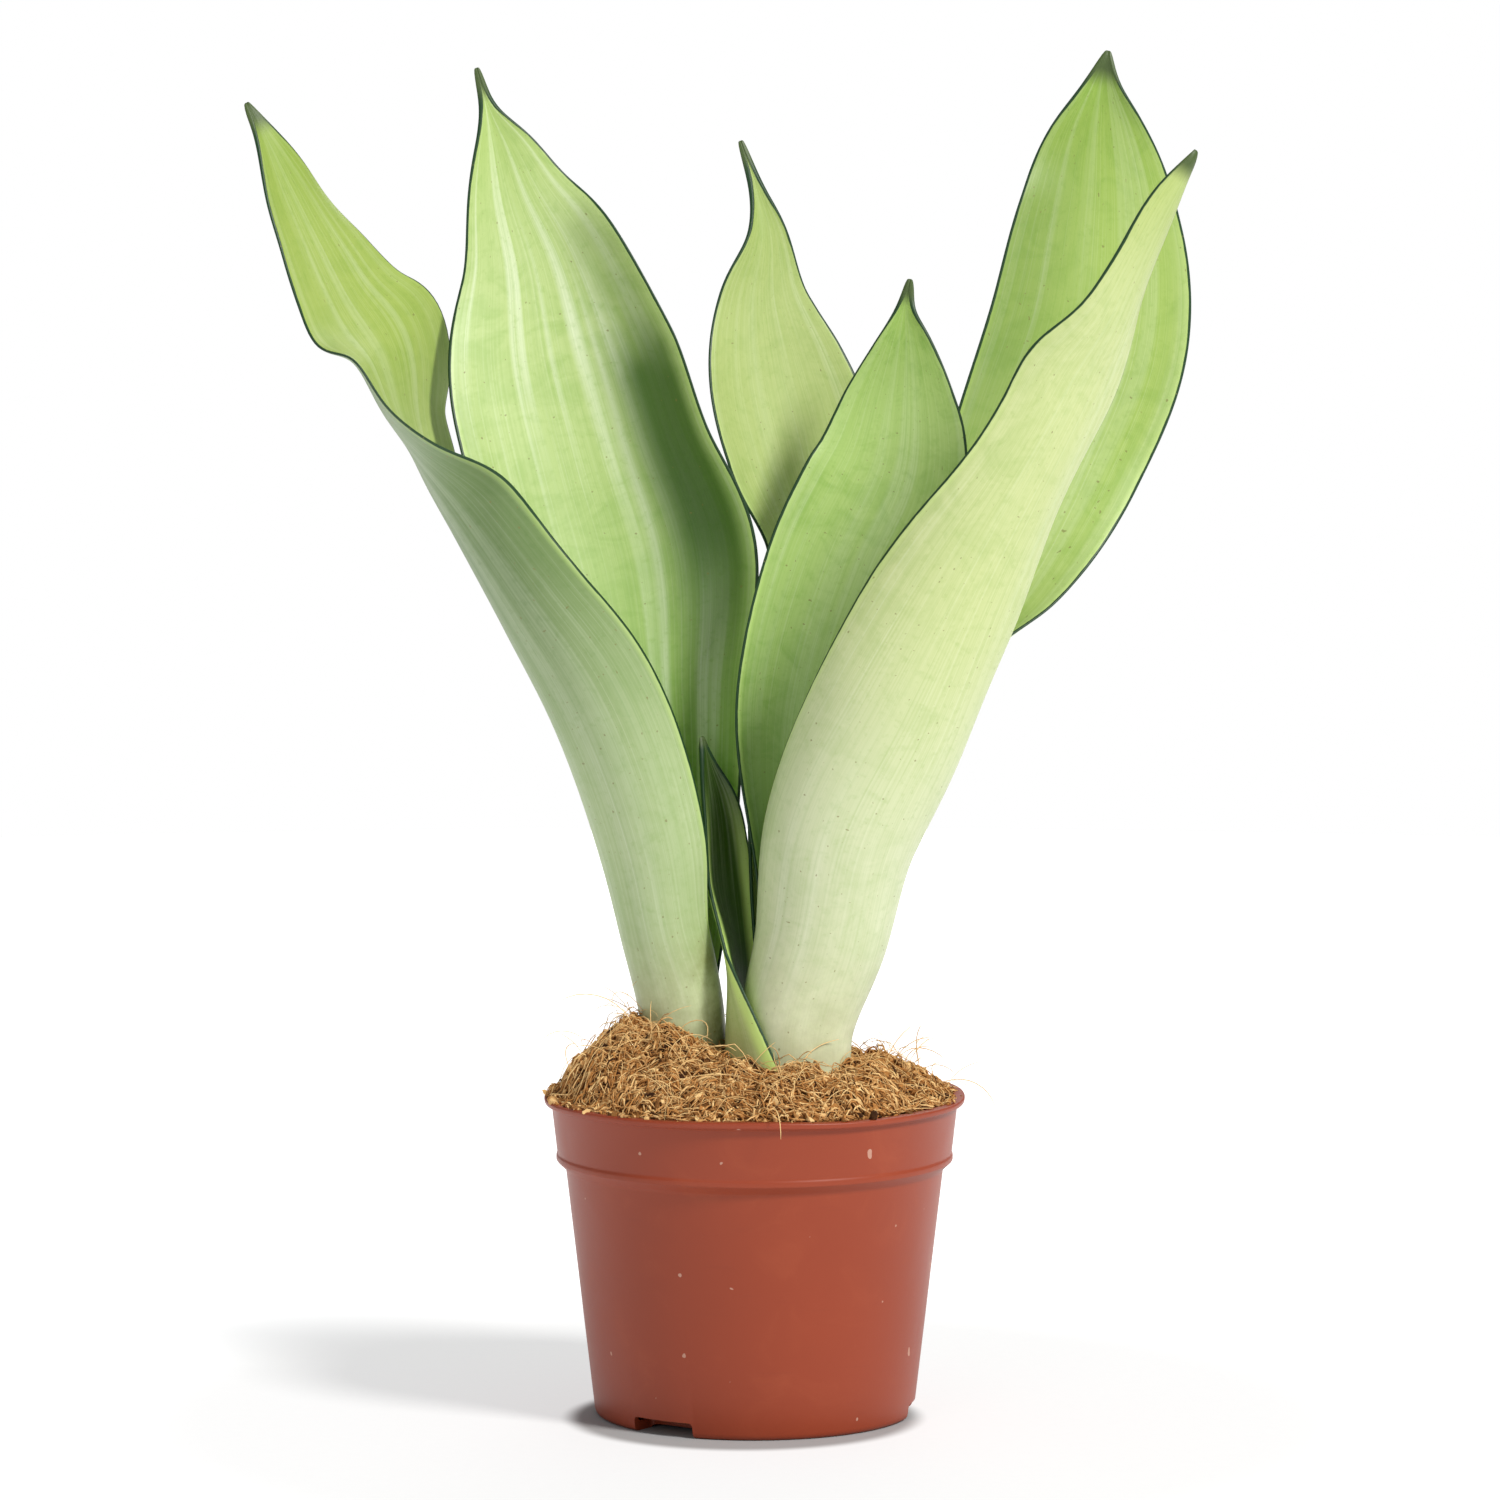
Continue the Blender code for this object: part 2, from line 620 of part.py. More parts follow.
def pile_coir(mesh):
    """Piles the heap up against the left shoot and roughens it."""
    bump_x, bump_y = (at + off for at, off in zip(LEFT_SHOOT_AT, COIR_BUMP_FROM_SHOOT))
    for vertex in mesh.vertices:
        x, y, z = vertex.co
        if z < coir_edge_height() - 0.1 * MM:
            continue
        inside = max(0.0, 1.0 - (math.hypot(x, y) / coir_edge_radius()) ** COIR_EDGE_POWER)
        away = (x - bump_x) ** 2 + (y - bump_y) ** 2
        bump = COIR_BUMP * math.exp(-away / (2 * COIR_BUMP_SPREAD**2))
        lump = COIR_LUMP * math.sin(x / (5 * MM)) * math.cos(y / (6 * MM) + x / (9 * MM))
        vertex.co.z = z + (bump + lump) * inside


def leaf_socket(shoot, cutters):
    """The slot that the shoot's outermost leaf fills: the same facets, swollen by the gap."""
    level = outermost(shoot)
    rows = np.linspace(0.0, 1.0, ALONG + 1)
    heights = leaf_rows(shoot, level, rows)[0][:, 2]
    count = int(np.argmax(heights > above_coir())) + 1
    rows = np.concatenate([[0.0], rows[:count]])
    name = shoot.name + "_socket"
    return make_cutter(blade(name, shoot, level, rows, cutters, COIR_GAP, 2 * COIR_GAP), cutters)


def shoot_pit(shoot, cutters):
    """The round pit that the wrapped leaves and the rhizome's end stand in."""
    bottom = POT_HEIGHT + LEAF_BASE_HEIGHT - COIR_GAP
    wrapped = nest_radius(shoot, outermost(shoot)) + LEAF_THICKNESS / 2 + PIT_CLEARANCE
    x, y = shoot_middle(shoot)
    bpy.ops.mesh.primitive_cylinder_add(
        vertices=40,
        radius=max(wrapped, RHIZOME_RADIUS + 2 * COIR_GAP),
        depth=above_coir() - bottom,
        location=(x, y, (above_coir() + bottom) / 2),
    )
    obj = bpy.context.active_object
    obj.name = shoot.name + "_pit"
    return make_cutter(obj, cutters)


def build_coir(plant, cutters):
    coir = baked(turned("potting_coir", coir_profile(), COIR_STEPS, plant))
    pile_coir(coir.data)
    for shoot in SHOOTS:
        cut(coir, shoot_pit(shoot, cutters))
        cut(coir, leaf_socket(shoot, cutters))
    hollow = rhizome_tube("rhizome_hollow", RHIZOME_RADIUS + COIR_GAP, 3 * COIR_GAP, cutters)
    cut(coir, make_cutter(hollow, cutters))
    coir.data.materials.append(material("coir", COIR_COLOUR, COIR_ROUGHNESS))


def main():
    clear_scene()
    plant = new_collection("potted_snake_plant")
    cutters = new_collection("cutters")
    build_pot(plant, cutters)
    for shoot in SHOOTS:
        for level in range(len(shoot.leaves)):
            build_leaf(shoot, level, plant)
    build_rhizome(plant)
    build_coir(plant, cutters)
    for solid in plant.objects:
        solid.data.shade_smooth()
        solid.data.set_sharp_from_angle(angle=math.radians(SHARP_DEG))


main()
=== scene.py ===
"""The look of a potted snake plant: a terracotta nursery pot, coir with crumbs, strands and bark,
and seven pale leaves with a thin dark margin."""

import math
from collections import namedtuple

import bpy
import numpy as np
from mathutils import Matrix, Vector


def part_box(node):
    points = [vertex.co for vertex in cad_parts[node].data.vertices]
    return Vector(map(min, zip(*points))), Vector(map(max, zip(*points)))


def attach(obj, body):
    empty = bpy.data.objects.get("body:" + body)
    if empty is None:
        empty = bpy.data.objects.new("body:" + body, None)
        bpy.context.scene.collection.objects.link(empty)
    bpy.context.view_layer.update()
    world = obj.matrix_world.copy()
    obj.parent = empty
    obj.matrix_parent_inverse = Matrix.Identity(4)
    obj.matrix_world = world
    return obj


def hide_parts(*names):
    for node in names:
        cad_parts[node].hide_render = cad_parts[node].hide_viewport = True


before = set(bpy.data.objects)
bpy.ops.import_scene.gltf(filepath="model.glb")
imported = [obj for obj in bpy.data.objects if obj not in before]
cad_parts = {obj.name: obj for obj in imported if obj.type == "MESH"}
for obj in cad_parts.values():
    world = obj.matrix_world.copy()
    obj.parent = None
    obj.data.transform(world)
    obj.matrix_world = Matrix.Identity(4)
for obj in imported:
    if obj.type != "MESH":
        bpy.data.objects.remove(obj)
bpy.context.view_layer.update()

MM = 0.001
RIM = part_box("pot")[1].z
LIP_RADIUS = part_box("pot")[1].x
random = np.random.default_rng(7)


# ---- Working by hand: selecting, shaping, applying -------
def only(piece):
    """Makes one piece the active and only selected object."""
    bpy.ops.object.select_all(action="DESELECT")
    piece.select_set(True)
    bpy.context.view_layer.objects.active = piece


def new_piece(name):
    """The primitive that was just added, named and alone in the selection."""
    piece = bpy.context.active_object
    piece.name = piece.data.name = name
    only(piece)
    return piece


def apply_place(piece):
    only(piece)
    bpy.ops.object.transform_apply(location=True, rotation=True, scale=True)


def finish_with(piece, kind, **settings):
    """Adds a modifier and applies it at once."""
    only(piece)
    modifier = piece.modifiers.new(kind.lower(), kind)
    for setting, value in settings.items():
        setattr(modifier, setting, value)
    bpy.ops.object.modifier_apply(modifier=modifier.name)


def facing_out(piece):
    only(piece)
    bpy.ops.object.mode_set(mode="EDIT")
    bpy.ops.mesh.select_all(action="SELECT")
    bpy.ops.mesh.normals_make_consistent(inside=False)
    bpy.ops.object.mode_set(mode="OBJECT")


def smooth(piece, degrees=None):
    only(piece)
    if degrees is None:
        bpy.ops.object.shade_smooth()
    else:
        bpy.ops.object.shade_smooth_by_angle(angle=math.radians(degrees))


def places(mesh):
    spots = np.zeros(len(mesh.vertices) * 3)
    mesh.vertices.foreach_get("co", spots)
    return spots.reshape(-1, 3)


def put(mesh, spots):
    mesh.vertices.foreach_set("co", spots.ravel())
    mesh.update()


def note(mesh, name, values):
    """Keeps a number for each vertex under a name that a material can read."""
    attribute = mesh.attributes.new(name, "FLOAT", "POINT")
    attribute.data.foreach_set("value", np.asarray(values, dtype=np.float32))


def place_on_frame(piece, slot, *nodes):
    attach(piece, "root")
    for node in nodes:
        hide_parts(node)


# ---- Writing materials -----------------------------------
def paint(red, green, blue):
    """A colour as seen on a screen, 0 to 255, turned into the linear colour of a shader."""
    shares = [value / 255.0 for value in (red, green, blue)]
    return tuple(s / 12.92 if s <= 0.04045 else ((s + 0.055) / 1.055) ** 2.4 for s in shares)


class Signal:
    """A shader socket that arithmetic can be written on."""

    def __init__(self, finish, socket):
        self.finish = finish
        self.socket = socket

    def math(self, operation, *others, clamp=False):
        values = {index + 1: other for index, other in enumerate(others)}
        settings = {"operation": operation, "use_clamp": clamp}
        return self.finish.node("ShaderNodeMath", settings, {0: self, **values})

    def __add__(self, other):
        return self.math("ADD", other)

    __radd__ = __add__

    def __mul__(self, other):
        return self.math("MULTIPLY", other)

    def __sub__(self, other):
        return self.math("SUBTRACT", other)

    def within(self):
        """The value held between 0 and 1."""
        return self.math("ADD", 0.0, clamp=True)

    def step(self, low, high):
        """0 below low, 1 above high and a smooth rise between them; falls where low is the larger."""
        sockets = {"Value": self, "From Min": low, "From Max": high}
        return self.finish.node("ShaderNodeMapRange", {"interpolation_type": "SMOOTHSTEP"}, sockets)


class Finish:
    """A material that is written as expressions."""

    def __init__(self, name, gloss=0.5):
        self.material = bpy.data.materials.new(name)
        self.material.use_nodes = True
        self.tree = self.material.node_tree
        self.shader = self.tree.nodes["Principled BSDF"]
        self.shader.inputs["Specular IOR Level"].default_value = gloss

    def node(self, kind, settings, sockets, output=0):
        made = self.tree.nodes.new(kind)
        for setting, value in settings.items():
            setattr(made, setting, value)
        for socket, value in sockets.items():
            self.connect(made.inputs[socket], value)
        return Signal(self, made.outputs[output])

    def connect(self, socket, value):
        if isinstance(value, Signal):
            self.tree.links.new(value.socket, socket)
        elif isinstance(value, tuple) and len(socket.default_value) == 4:
            socket.default_value = (*value, 1.0)
        else:
            socket.default_value = value

    def read(self, name):
        return self.node("ShaderNodeAttribute", {"attribute_name": name}, {}, "Fac")

    def place(self):
        return self.node("ShaderNodeTexCoord", {}, {}, "Object")

    def vector(self, x, y, z=0.0):
        return self.node("ShaderNodeCombineXYZ", {}, {0: x, 1: y, 2: z})

    def noise(self, at, scale, detail=3.0, roughness=0.5, distortion=0.0):
        sockets = {
            "Vector": at,
            "Scale": scale,
            "Detail": detail,
            "Roughness": roughness,
            "Distortion": distortion,
        }
        return self.node("ShaderNodeTexNoise", {}, sockets, "Fac")

    def mix(self, share, colour, other, blend="MIX"):
        settings = {"data_type": "RGBA", "blend_type": blend}
        return self.node("ShaderNodeMix", settings, {0: share, 6: colour, 7: other}, 2)

    def bump(self, height, strength, depth):
        sockets = {"Height": height, "Strength": strength, "Distance": depth}
        normal = self.node("ShaderNodeBump", {}, sockets)
        self.connect(self.shader.inputs["Normal"], normal)

    def feed(self, **signals):
        for socket, signal in signals.items():
            self.connect(self.shader.inputs[socket.replace("_", " ").title()], signal)
        return self.material


# ---- Camera, floor and light -----------------------------
CAMERA_LENS = 169.9  # millimetres, for a frame 36 mm wide
CAMERA_FRAME = 36.0
CAMERA_AT = (-0.0013, -2.0, 0.377)
CAMERA_DOWN_DEG = 5.34
LIGHT_AIM = (0.0, 0.0, 0.2)
SKY_COLOUR = (0.95, 0.97, 1.0)
AMBIENT = 0.34
KEY_COLOUR = (1.0, 0.985, 0.96)
KEY_STRENGTH = 2.9
KEY_SPREAD_DEG = 13.0
KEY_FROM_TOP_DEG = 49.0
KEY_TO_RIGHT_DEG = 48.0  # from straight in front of the plant
FILL_AT, FILL_SIZE, FILL_POWER = (-0.9, -1.9, 0.7), 1.4, 5.0
BACK_AT, BACK_SIZE, BACK_POWER = (0.3, 1.6, 1.3), 1.2, 6.0
FLOOR_RADIUS, FLOOR_SIDES = 1.6, 96
FLOOR_WHITE, FLOOR_GRAIN = 0.42, 0.01
# The floor glows, so that its shadow is as faint as on a lit white table, but not under the pot.
GLOW_NEAR, GLOW_FAR = 0.56, 1.0
GLOW_RISE = (150.0 * MM, 270.0 * MM)
# Where the glow stops: a ring set a little in front of the pot's middle, so that a painted contact shadow
# shows along its front foot.
CONTACT_MIDDLE = (-3.0 * MM, -9.0 * MM, 0.0)
CONTACT_EDGE = (46.0 * MM, 53.0 * MM)


def set_camera():
    lens = bpy.data.cameras.new("camera")
    lens.lens = CAMERA_LENS
    lens.sensor_width = CAMERA_FRAME
    camera = bpy.data.objects.new("camera", lens)
    camera.location = CAMERA_AT
    camera.rotation_euler = (math.radians(90.0 - CAMERA_DOWN_DEG), 0.0, 0.0)
    bpy.context.scene.collection.objects.link(camera)
    bpy.context.scene.camera = camera


def soft_light(name, place, size, power):
    """A white disk of light that faces the plant."""
    lamp = bpy.data.lights.new(name, "AREA")
    lamp.shape = "DISK"
    lamp.size = size
    lamp.energy = power
    light = bpy.data.objects.new(name, lamp)
    light.location = place
    away = np.array(place) - np.array(LIGHT_AIM)
    level = math.hypot(away[0], away[1])
    light.rotation_euler = (math.atan2(level, away[2]), 0.0, math.atan2(away[0], -away[1]))
    bpy.context.scene.collection.objects.link(light)


def key_light():
    """A broad, even light from the front right, high up, as from a large softbox."""
    lamp = bpy.data.lights.new("key", "SUN")
    lamp.energy = KEY_STRENGTH
    lamp.angle = math.radians(KEY_SPREAD_DEG)
    lamp.color = KEY_COLOUR
    light = bpy.data.objects.new("key", lamp)
    light.rotation_euler = (math.radians(KEY_FROM_TOP_DEG), 0.0, math.radians(KEY_TO_RIGHT_DEG))
    bpy.context.scene.collection.objects.link(light)


def light_studio():
    scene = bpy.context.scene
    scene.view_settings.view_transform = "Standard"
    world = bpy.data.worlds.new("studio")
    scene.world = world
    world.use_nodes = True
    tree = world.node_tree
    seen = tree.nodes["Background"]
    seen.inputs["Color"].default_value = (1.0, 1.0, 1.0, 1.0)
    seen.inputs["Strength"].default_value = 1.0
    around = tree.nodes.new("ShaderNodeBackground")
    around.inputs["Color"].default_value = (*SKY_COLOUR, 1.0)
    around.inputs["Strength"].default_value = AMBIENT
    path = tree.nodes.new("ShaderNodeLightPath")
    both = tree.nodes.new("ShaderNodeMixShader")
    tree.links.new(path.outputs["Is Camera Ray"], both.inputs[0])
    tree.links.new(around.outputs[0], both.inputs[1])
    tree.links.new(seen.outputs[0], both.inputs[2])
    tree.links.new(both.outputs[0], tree.nodes["World Output"].inputs["Surface"])
    key_light()
    soft_light("front_fill", FILL_AT, FILL_SIZE, FILL_POWER)
    soft_light("back_fill", BACK_AT, BACK_SIZE, BACK_POWER)


def lay_floor():
    bpy.ops.mesh.primitive_circle_add(vertices=FLOOR_SIDES, radius=FLOOR_RADIUS, fill_type="NGON")
    floor = new_piece("floor")
    finish = Finish("floor_paper", gloss=0.0)
    at = finish.place()
    grain = finish.noise(at, 300.0)
    white = finish.mix(grain, (FLOOR_WHITE - FLOOR_GRAIN,) * 3, (FLOOR_WHITE + FLOOR_GRAIN,) * 3)
    apart = {0: at, 1: CONTACT_MIDDLE}
    away = finish.node("ShaderNodeVectorMath", {"operation": "DISTANCE"}, apart, "Value")
    contact = away.step(*CONTACT_EDGE)
    lit = finish.mix(away.step(*GLOW_RISE), (GLOW_NEAR,) * 3, (GLOW_FAR,) * 3)
    lit = finish.mix(contact, (0.0, 0.0, 0.0), lit)
    finish.shader.inputs["Emission Strength"].default_value = 1.0
    floor.data.materials.append(finish.feed(base_color=white, roughness=0.9, emission_color=lit))


# ---- Pot -------------------------------------------------
POT_SIDES = 168
COLLAR_TOP, COLLAR_FOOT = 57.9 * MM, 56.2 * MM
BODY_TOP, BODY_FOOT = 53.8 * MM, 45.5 * MM
WALL = 1.3 * MM
LIP_HEIGHT = 2.0 * MM
COLLAR_HEIGHT = 18.7 * MM
STEP_HEIGHT = 2.6 * MM
# The raised band at the collar's foot: how far it stands out, how high it does so, and where it ends.
BEAD, BEAD_FULL, BEAD_TOP = 0.35 * MM, 1.3 * MM, 2.0 * MM
COLLAR_FOOT_UP = RIM - COLLAR_HEIGHT
BODY_TOP_UP = COLLAR_FOOT_UP - STEP_HEIGHT
FLOOR_TOP = 2.7 * MM
FLOOR_UNDER = 1.2 * MM
RING_INNER = 38.5 * MM
PAD_RADIUS = 13.0 * MM
AXIS_GAP = 0.6 * MM  # an outline starts this far from the axis, and a small cap closes it
NOTCHES = 3
NOTCH_FIRST = -35.0
NOTCH_ROUNDING = 1.2 * MM
NOTCH_SIZE = (14.2 * MM, 20.0 * MM, 9.4 * MM)
NOTCH_MIDDLE = (43.6 * MM, -0.3 * MM)
DRAIN_HOLES, DRAIN_SIDES = 6, 24
DRAIN_RADIUS = 3.5 * MM
DRAIN_CUTTER, DRAIN_CUTTER_UP = 9 * MM, 1.5 * MM
# The lip isn't quite flat: its waves, how far it sinks, and how far down that reaches.
WARP_REACH = 6 * MM
WARP_HEIGHT, WARP_SINKS = 0.28 * MM, 0.4 * MM
SHARP_DEG = 32


def rounded(corner_in, corner, corner_out, radius, steps=4):
    """Points of a small arc that rounds a profile's corner."""
    a, b, c = (np.array(point) for point in (corner_in, corner, corner_out))
    start = b + (a - b) / np.linalg.norm(a - b) * radius
    end = b + (c - b) / np.linalg.norm(c - b) * radius
    shares = np.linspace(0.0, 1.0, steps + 1)[:, None]
    arc = (1 - shares) ** 2 * start + 2 * shares * (1 - shares) * b + shares**2 * end
    return [tuple(point) for point in arc]


def pot_outline():
    """From the middle of the floor up the inner wall, over the lip and down to the pad underneath."""
    lip_foot = RIM - LIP_HEIGHT
    inner_foot = BODY_FOOT - WALL
    corners = [
        ((AXIS_GAP, FLOOR_TOP), 0.0),
        ((inner_foot, FLOOR_TOP), 1.6 * MM),
        ((BODY_TOP - WALL, BODY_TOP_UP), 0.8 * MM),
        ((COLLAR_FOOT - WALL, COLLAR_FOOT_UP), 0.8 * MM),
        ((COLLAR_TOP - WALL, RIM), 0.55 * MM),
        ((LIP_RADIUS, RIM), 0.8 * MM),
        ((LIP_RADIUS - 0.15 * MM, lip_foot), 0.7 * MM),
        ((COLLAR_TOP, lip_foot - 0.2 * MM), 0.6 * MM),
        ((COLLAR_FOOT + 0.05 * MM, COLLAR_FOOT_UP + BEAD_TOP), 0.4 * MM),
        ((COLLAR_FOOT + BEAD, COLLAR_FOOT_UP + BEAD_FULL), 0.35 * MM),
        ((COLLAR_FOOT + BEAD, COLLAR_FOOT_UP), 0.3 * MM),
        ((BODY_TOP, BODY_TOP_UP), 0.8 * MM),
        ((BODY_FOOT, 0.0), 1.8 * MM),
        ((RING_INNER, 0.0), 0.5 * MM),
        ((RING_INNER - FLOOR_UNDER, FLOOR_UNDER), 0.5 * MM),
        ((PAD_RADIUS + FLOOR_UNDER, FLOOR_UNDER), 0.5 * MM),
        ((PAD_RADIUS, 0.0), 0.5 * MM),
        ((AXIS_GAP, 0.0), 0.0),
    ]
    outline = []
    # Each corner comes with the radius that rounds it.
    for number, (corner, radius) in enumerate(corners):
        if radius:
            before, after = corners[number - 1][0], corners[number + 1][0]
            outline += rounded(before, corner, after, radius)
        else:
            outline.append(corner)
    return outline


def turn_up(name, outline, sides):
    """A ring extruded and resized from point to point of an outline, as on a lathe, and capped."""
    radius, height = outline[0]
    bpy.ops.mesh.primitive_circle_add(vertices=sides, radius=radius, location=(0, 0, height))
    piece = new_piece(name)
    apply_place(piece)
    bpy.ops.object.mode_set(mode="EDIT")
    bpy.ops.mesh.select_all(action="SELECT")
    bpy.ops.mesh.edge_face_add()
    bpy.ops.mesh.select_all(action="SELECT")
    for wide, high in outline[1:]:
        bpy.ops.mesh.extrude_region_move(TRANSFORM_OT_translate={"value": (0, 0, high - height)})
        share = wide / radius
        bpy.ops.transform.resize(value=(share, share, 1.0), center_override=(0, 0, high))
        radius, height = wide, high
    bpy.ops.object.mode_set(mode="OBJECT")
    facing_out(piece)
    return piece


def from_front(radius, degrees):
    """The level place at a radius and an angle from the front, positive to the right."""
    angle = math.radians(degrees)
    return radius * math.sin(angle), -radius * math.cos(angle)


def cut_away(piece, cutter):
    finish_with(piece, "BOOLEAN", operation="DIFFERENCE", object=cutter)
    bpy.data.objects.remove(cutter, do_unlink=True)


POT_REDS = (paint(136, 54, 28), paint(151, 62, 33))
SMUDGE_RED, SCUFF_RED, DUST = paint(165, 79, 47), paint(130, 54, 32), paint(214, 180, 160)
SCUFF_STRETCH = (9.0, 9.0, 90.0)


def terracotta():
    """Reddish plastic with cloudy tone, smudges, level scuffs and a little dust."""
    finish = Finish("terracotta_plastic", gloss=0.36)
    at = finish.place()
    cloud = finish.noise(at, 14.0, 4.0, 0.6)
    smudge = finish.noise(at, 55.0, 6.0, 0.65, 0.8)
    grain = finish.noise(at, 1400.0, 2.0)
    dust = finish.noise(at, 330.0, 0.0).step(0.85, 0.865)
    level = finish.node("ShaderNodeMapping", {}, {"Vector": at, "Scale": SCUFF_STRETCH})
    scuffs = finish.noise(level, 8.0, 5.0)
    red = finish.mix(cloud, *POT_REDS)
    red = finish.mix(smudge.step(0.5, 0.8) * 0.3, red, SMUDGE_RED)
    red = finish.mix(scuffs.step(0.6, 0.78) * 0.2, red, SCUFF_RED)
    red = finish.mix(dust * 0.5, red, DUST)
    rough = 0.36 + smudge * 0.14 + dust * 0.3
    finish.bump(grain * 0.25 + smudge * 0.5 + cloud, 0.12, 0.4 * MM)
    return finish.feed(base_color=red, roughness=rough)


def make_pot():
    pot = turn_up("nursery_pot", pot_outline(), POT_SIDES)
    for number in range(NOTCHES):
        degrees = NOTCH_FIRST + number * 360.0 / NOTCHES
        middle, up = NOTCH_MIDDLE
        bpy.ops.mesh.primitive_cube_add(size=1.0, location=(*from_front(middle, degrees), up))
        cutter = new_piece("notch")
        cutter.scale = NOTCH_SIZE
        cutter.rotation_euler = (0.0, 0.0, math.radians(degrees - 90.0))
        apply_place(cutter)
        finish_with(cutter, "BEVEL", width=NOTCH_ROUNDING, segments=4)
        cut_away(pot, cutter)
    for number in range(DRAIN_HOLES):
        degrees = NOTCH_FIRST + (number + 0.5) * 360.0 / DRAIN_HOLES
        at = (*from_front((PAD_RADIUS + RING_INNER) / 2, degrees), DRAIN_CUTTER_UP)
        bpy.ops.mesh.primitive_cylinder_add(
            vertices=DRAIN_SIDES, radius=DRAIN_RADIUS, depth=DRAIN_CUTTER, location=at
        )
        cut_away(pot, new_piece("drain"))
    spots = places(pot.data)
    angle = np.arctan2(spots[:, 1], spots[:, 0])
    near_lip = np.clip((spots[:, 2] - (RIM - WARP_REACH)) / WARP_REACH, 0.0, 1.0)
    waves = np.sin(3 * angle + 0.6) + 0.6 * np.sin(7 * angle)
    spots[:, 2] += near_lip * (WARP_HEIGHT * waves - WARP_SINKS)
    put(pot.data, spots)
    smooth(pot, SHARP_DEG)
    pot.data.materials.append(terracotta())
    place_on_frame(pot, "terracotta_plastic", "pot")


# ---- Leaves ----------------------------------------------
# A leaf's cross-section: where its midrib is, from the middle of its shoot and up from the rim, half
# its width along the surface, the way its inner face looks (0 to the front, 90 to the right) and how
# far each half curls in from the midrib to its margin. Millimetres and degrees.
Section = namedtuple("Section", "x y up half_width facing curl_left curl_right")
# A margin's ripple: its height, how many waves from base to tip, and where each margin's wave starts.
Ripple = namedtuple("Ripple", "height waves left right")
# nest_widths are half the leaf's width at its base and at the top of the nest.
Leaf = namedtuple("Leaf", "name facing nest_widths ripple sections")

LEFT_LEAVES = (
    Leaf(
        "leaf_left_inner", 25, (14, 14), Ripple(1.2, 3.0, 0.4, 0.9),
        (
            Section(-7, 11, 58, 22, 25, 95, 50),
            Section(-13, 19, 111, 33, 18, 72, 58),
            Section(-19, 25, 150, 44.5, 15, 48, 66),
            Section(-27.2, 28, 178, 41.5, 12, 40, 70),
            Section(-34.7, 31, 206, 37.5, 10, 32, 62),
            Section(-41.5, 34, 236, 25.3, 8, 24, 45),
            Section(-48.5, 35.5, 254, 16.3, 8, 30, 15),
            Section(-52.8, 36.5, 268, 9.6, 8, 40, 20),
            Section(-57, 37, 280, 2.6, 10, 60, 60),
            Section(-60, 37, 291, 0.7, 10, 80, 80),
        ),
    ),
    Leaf(
        "leaf_left_outer", 140, (27, 27), Ripple(1.2, 3.5, 0.1, 0.6),
        (
            Section(-13.5, -11, 45, 24.5, 135, 105, 105),
            Section(-19, -12, 69, 29, 130, 90, 85),
            Section(-35, -13, 111, 32, 122, 90, 85),
            Section(-49.2, -12, 136, 30.5, 112, 82, 66),
            Section(-64, -10, 161, 29, 102, 66, 52),
            Section(-74, -8, 178, 33.5, 94, 16, 48),
            Section(-80.5, -6.5, 192, 41, 80, 18, 14),
            Section(-86, -4, 211, 41, 68, 24, 6),
            Section(-95.5, -2.5, 226, 26, 56, 20, 0.5),
            Section(-102.8, -1, 240, 18, 48, 18, -6),
            Section(-111, 1, 256, 12, 45, 20, -20),
            Section(-118, 2, 270, 5, 40, 40, 20),
            Section(-124, 3, 281, 0.8, 40, 80, 80),
        ),
    ),
)

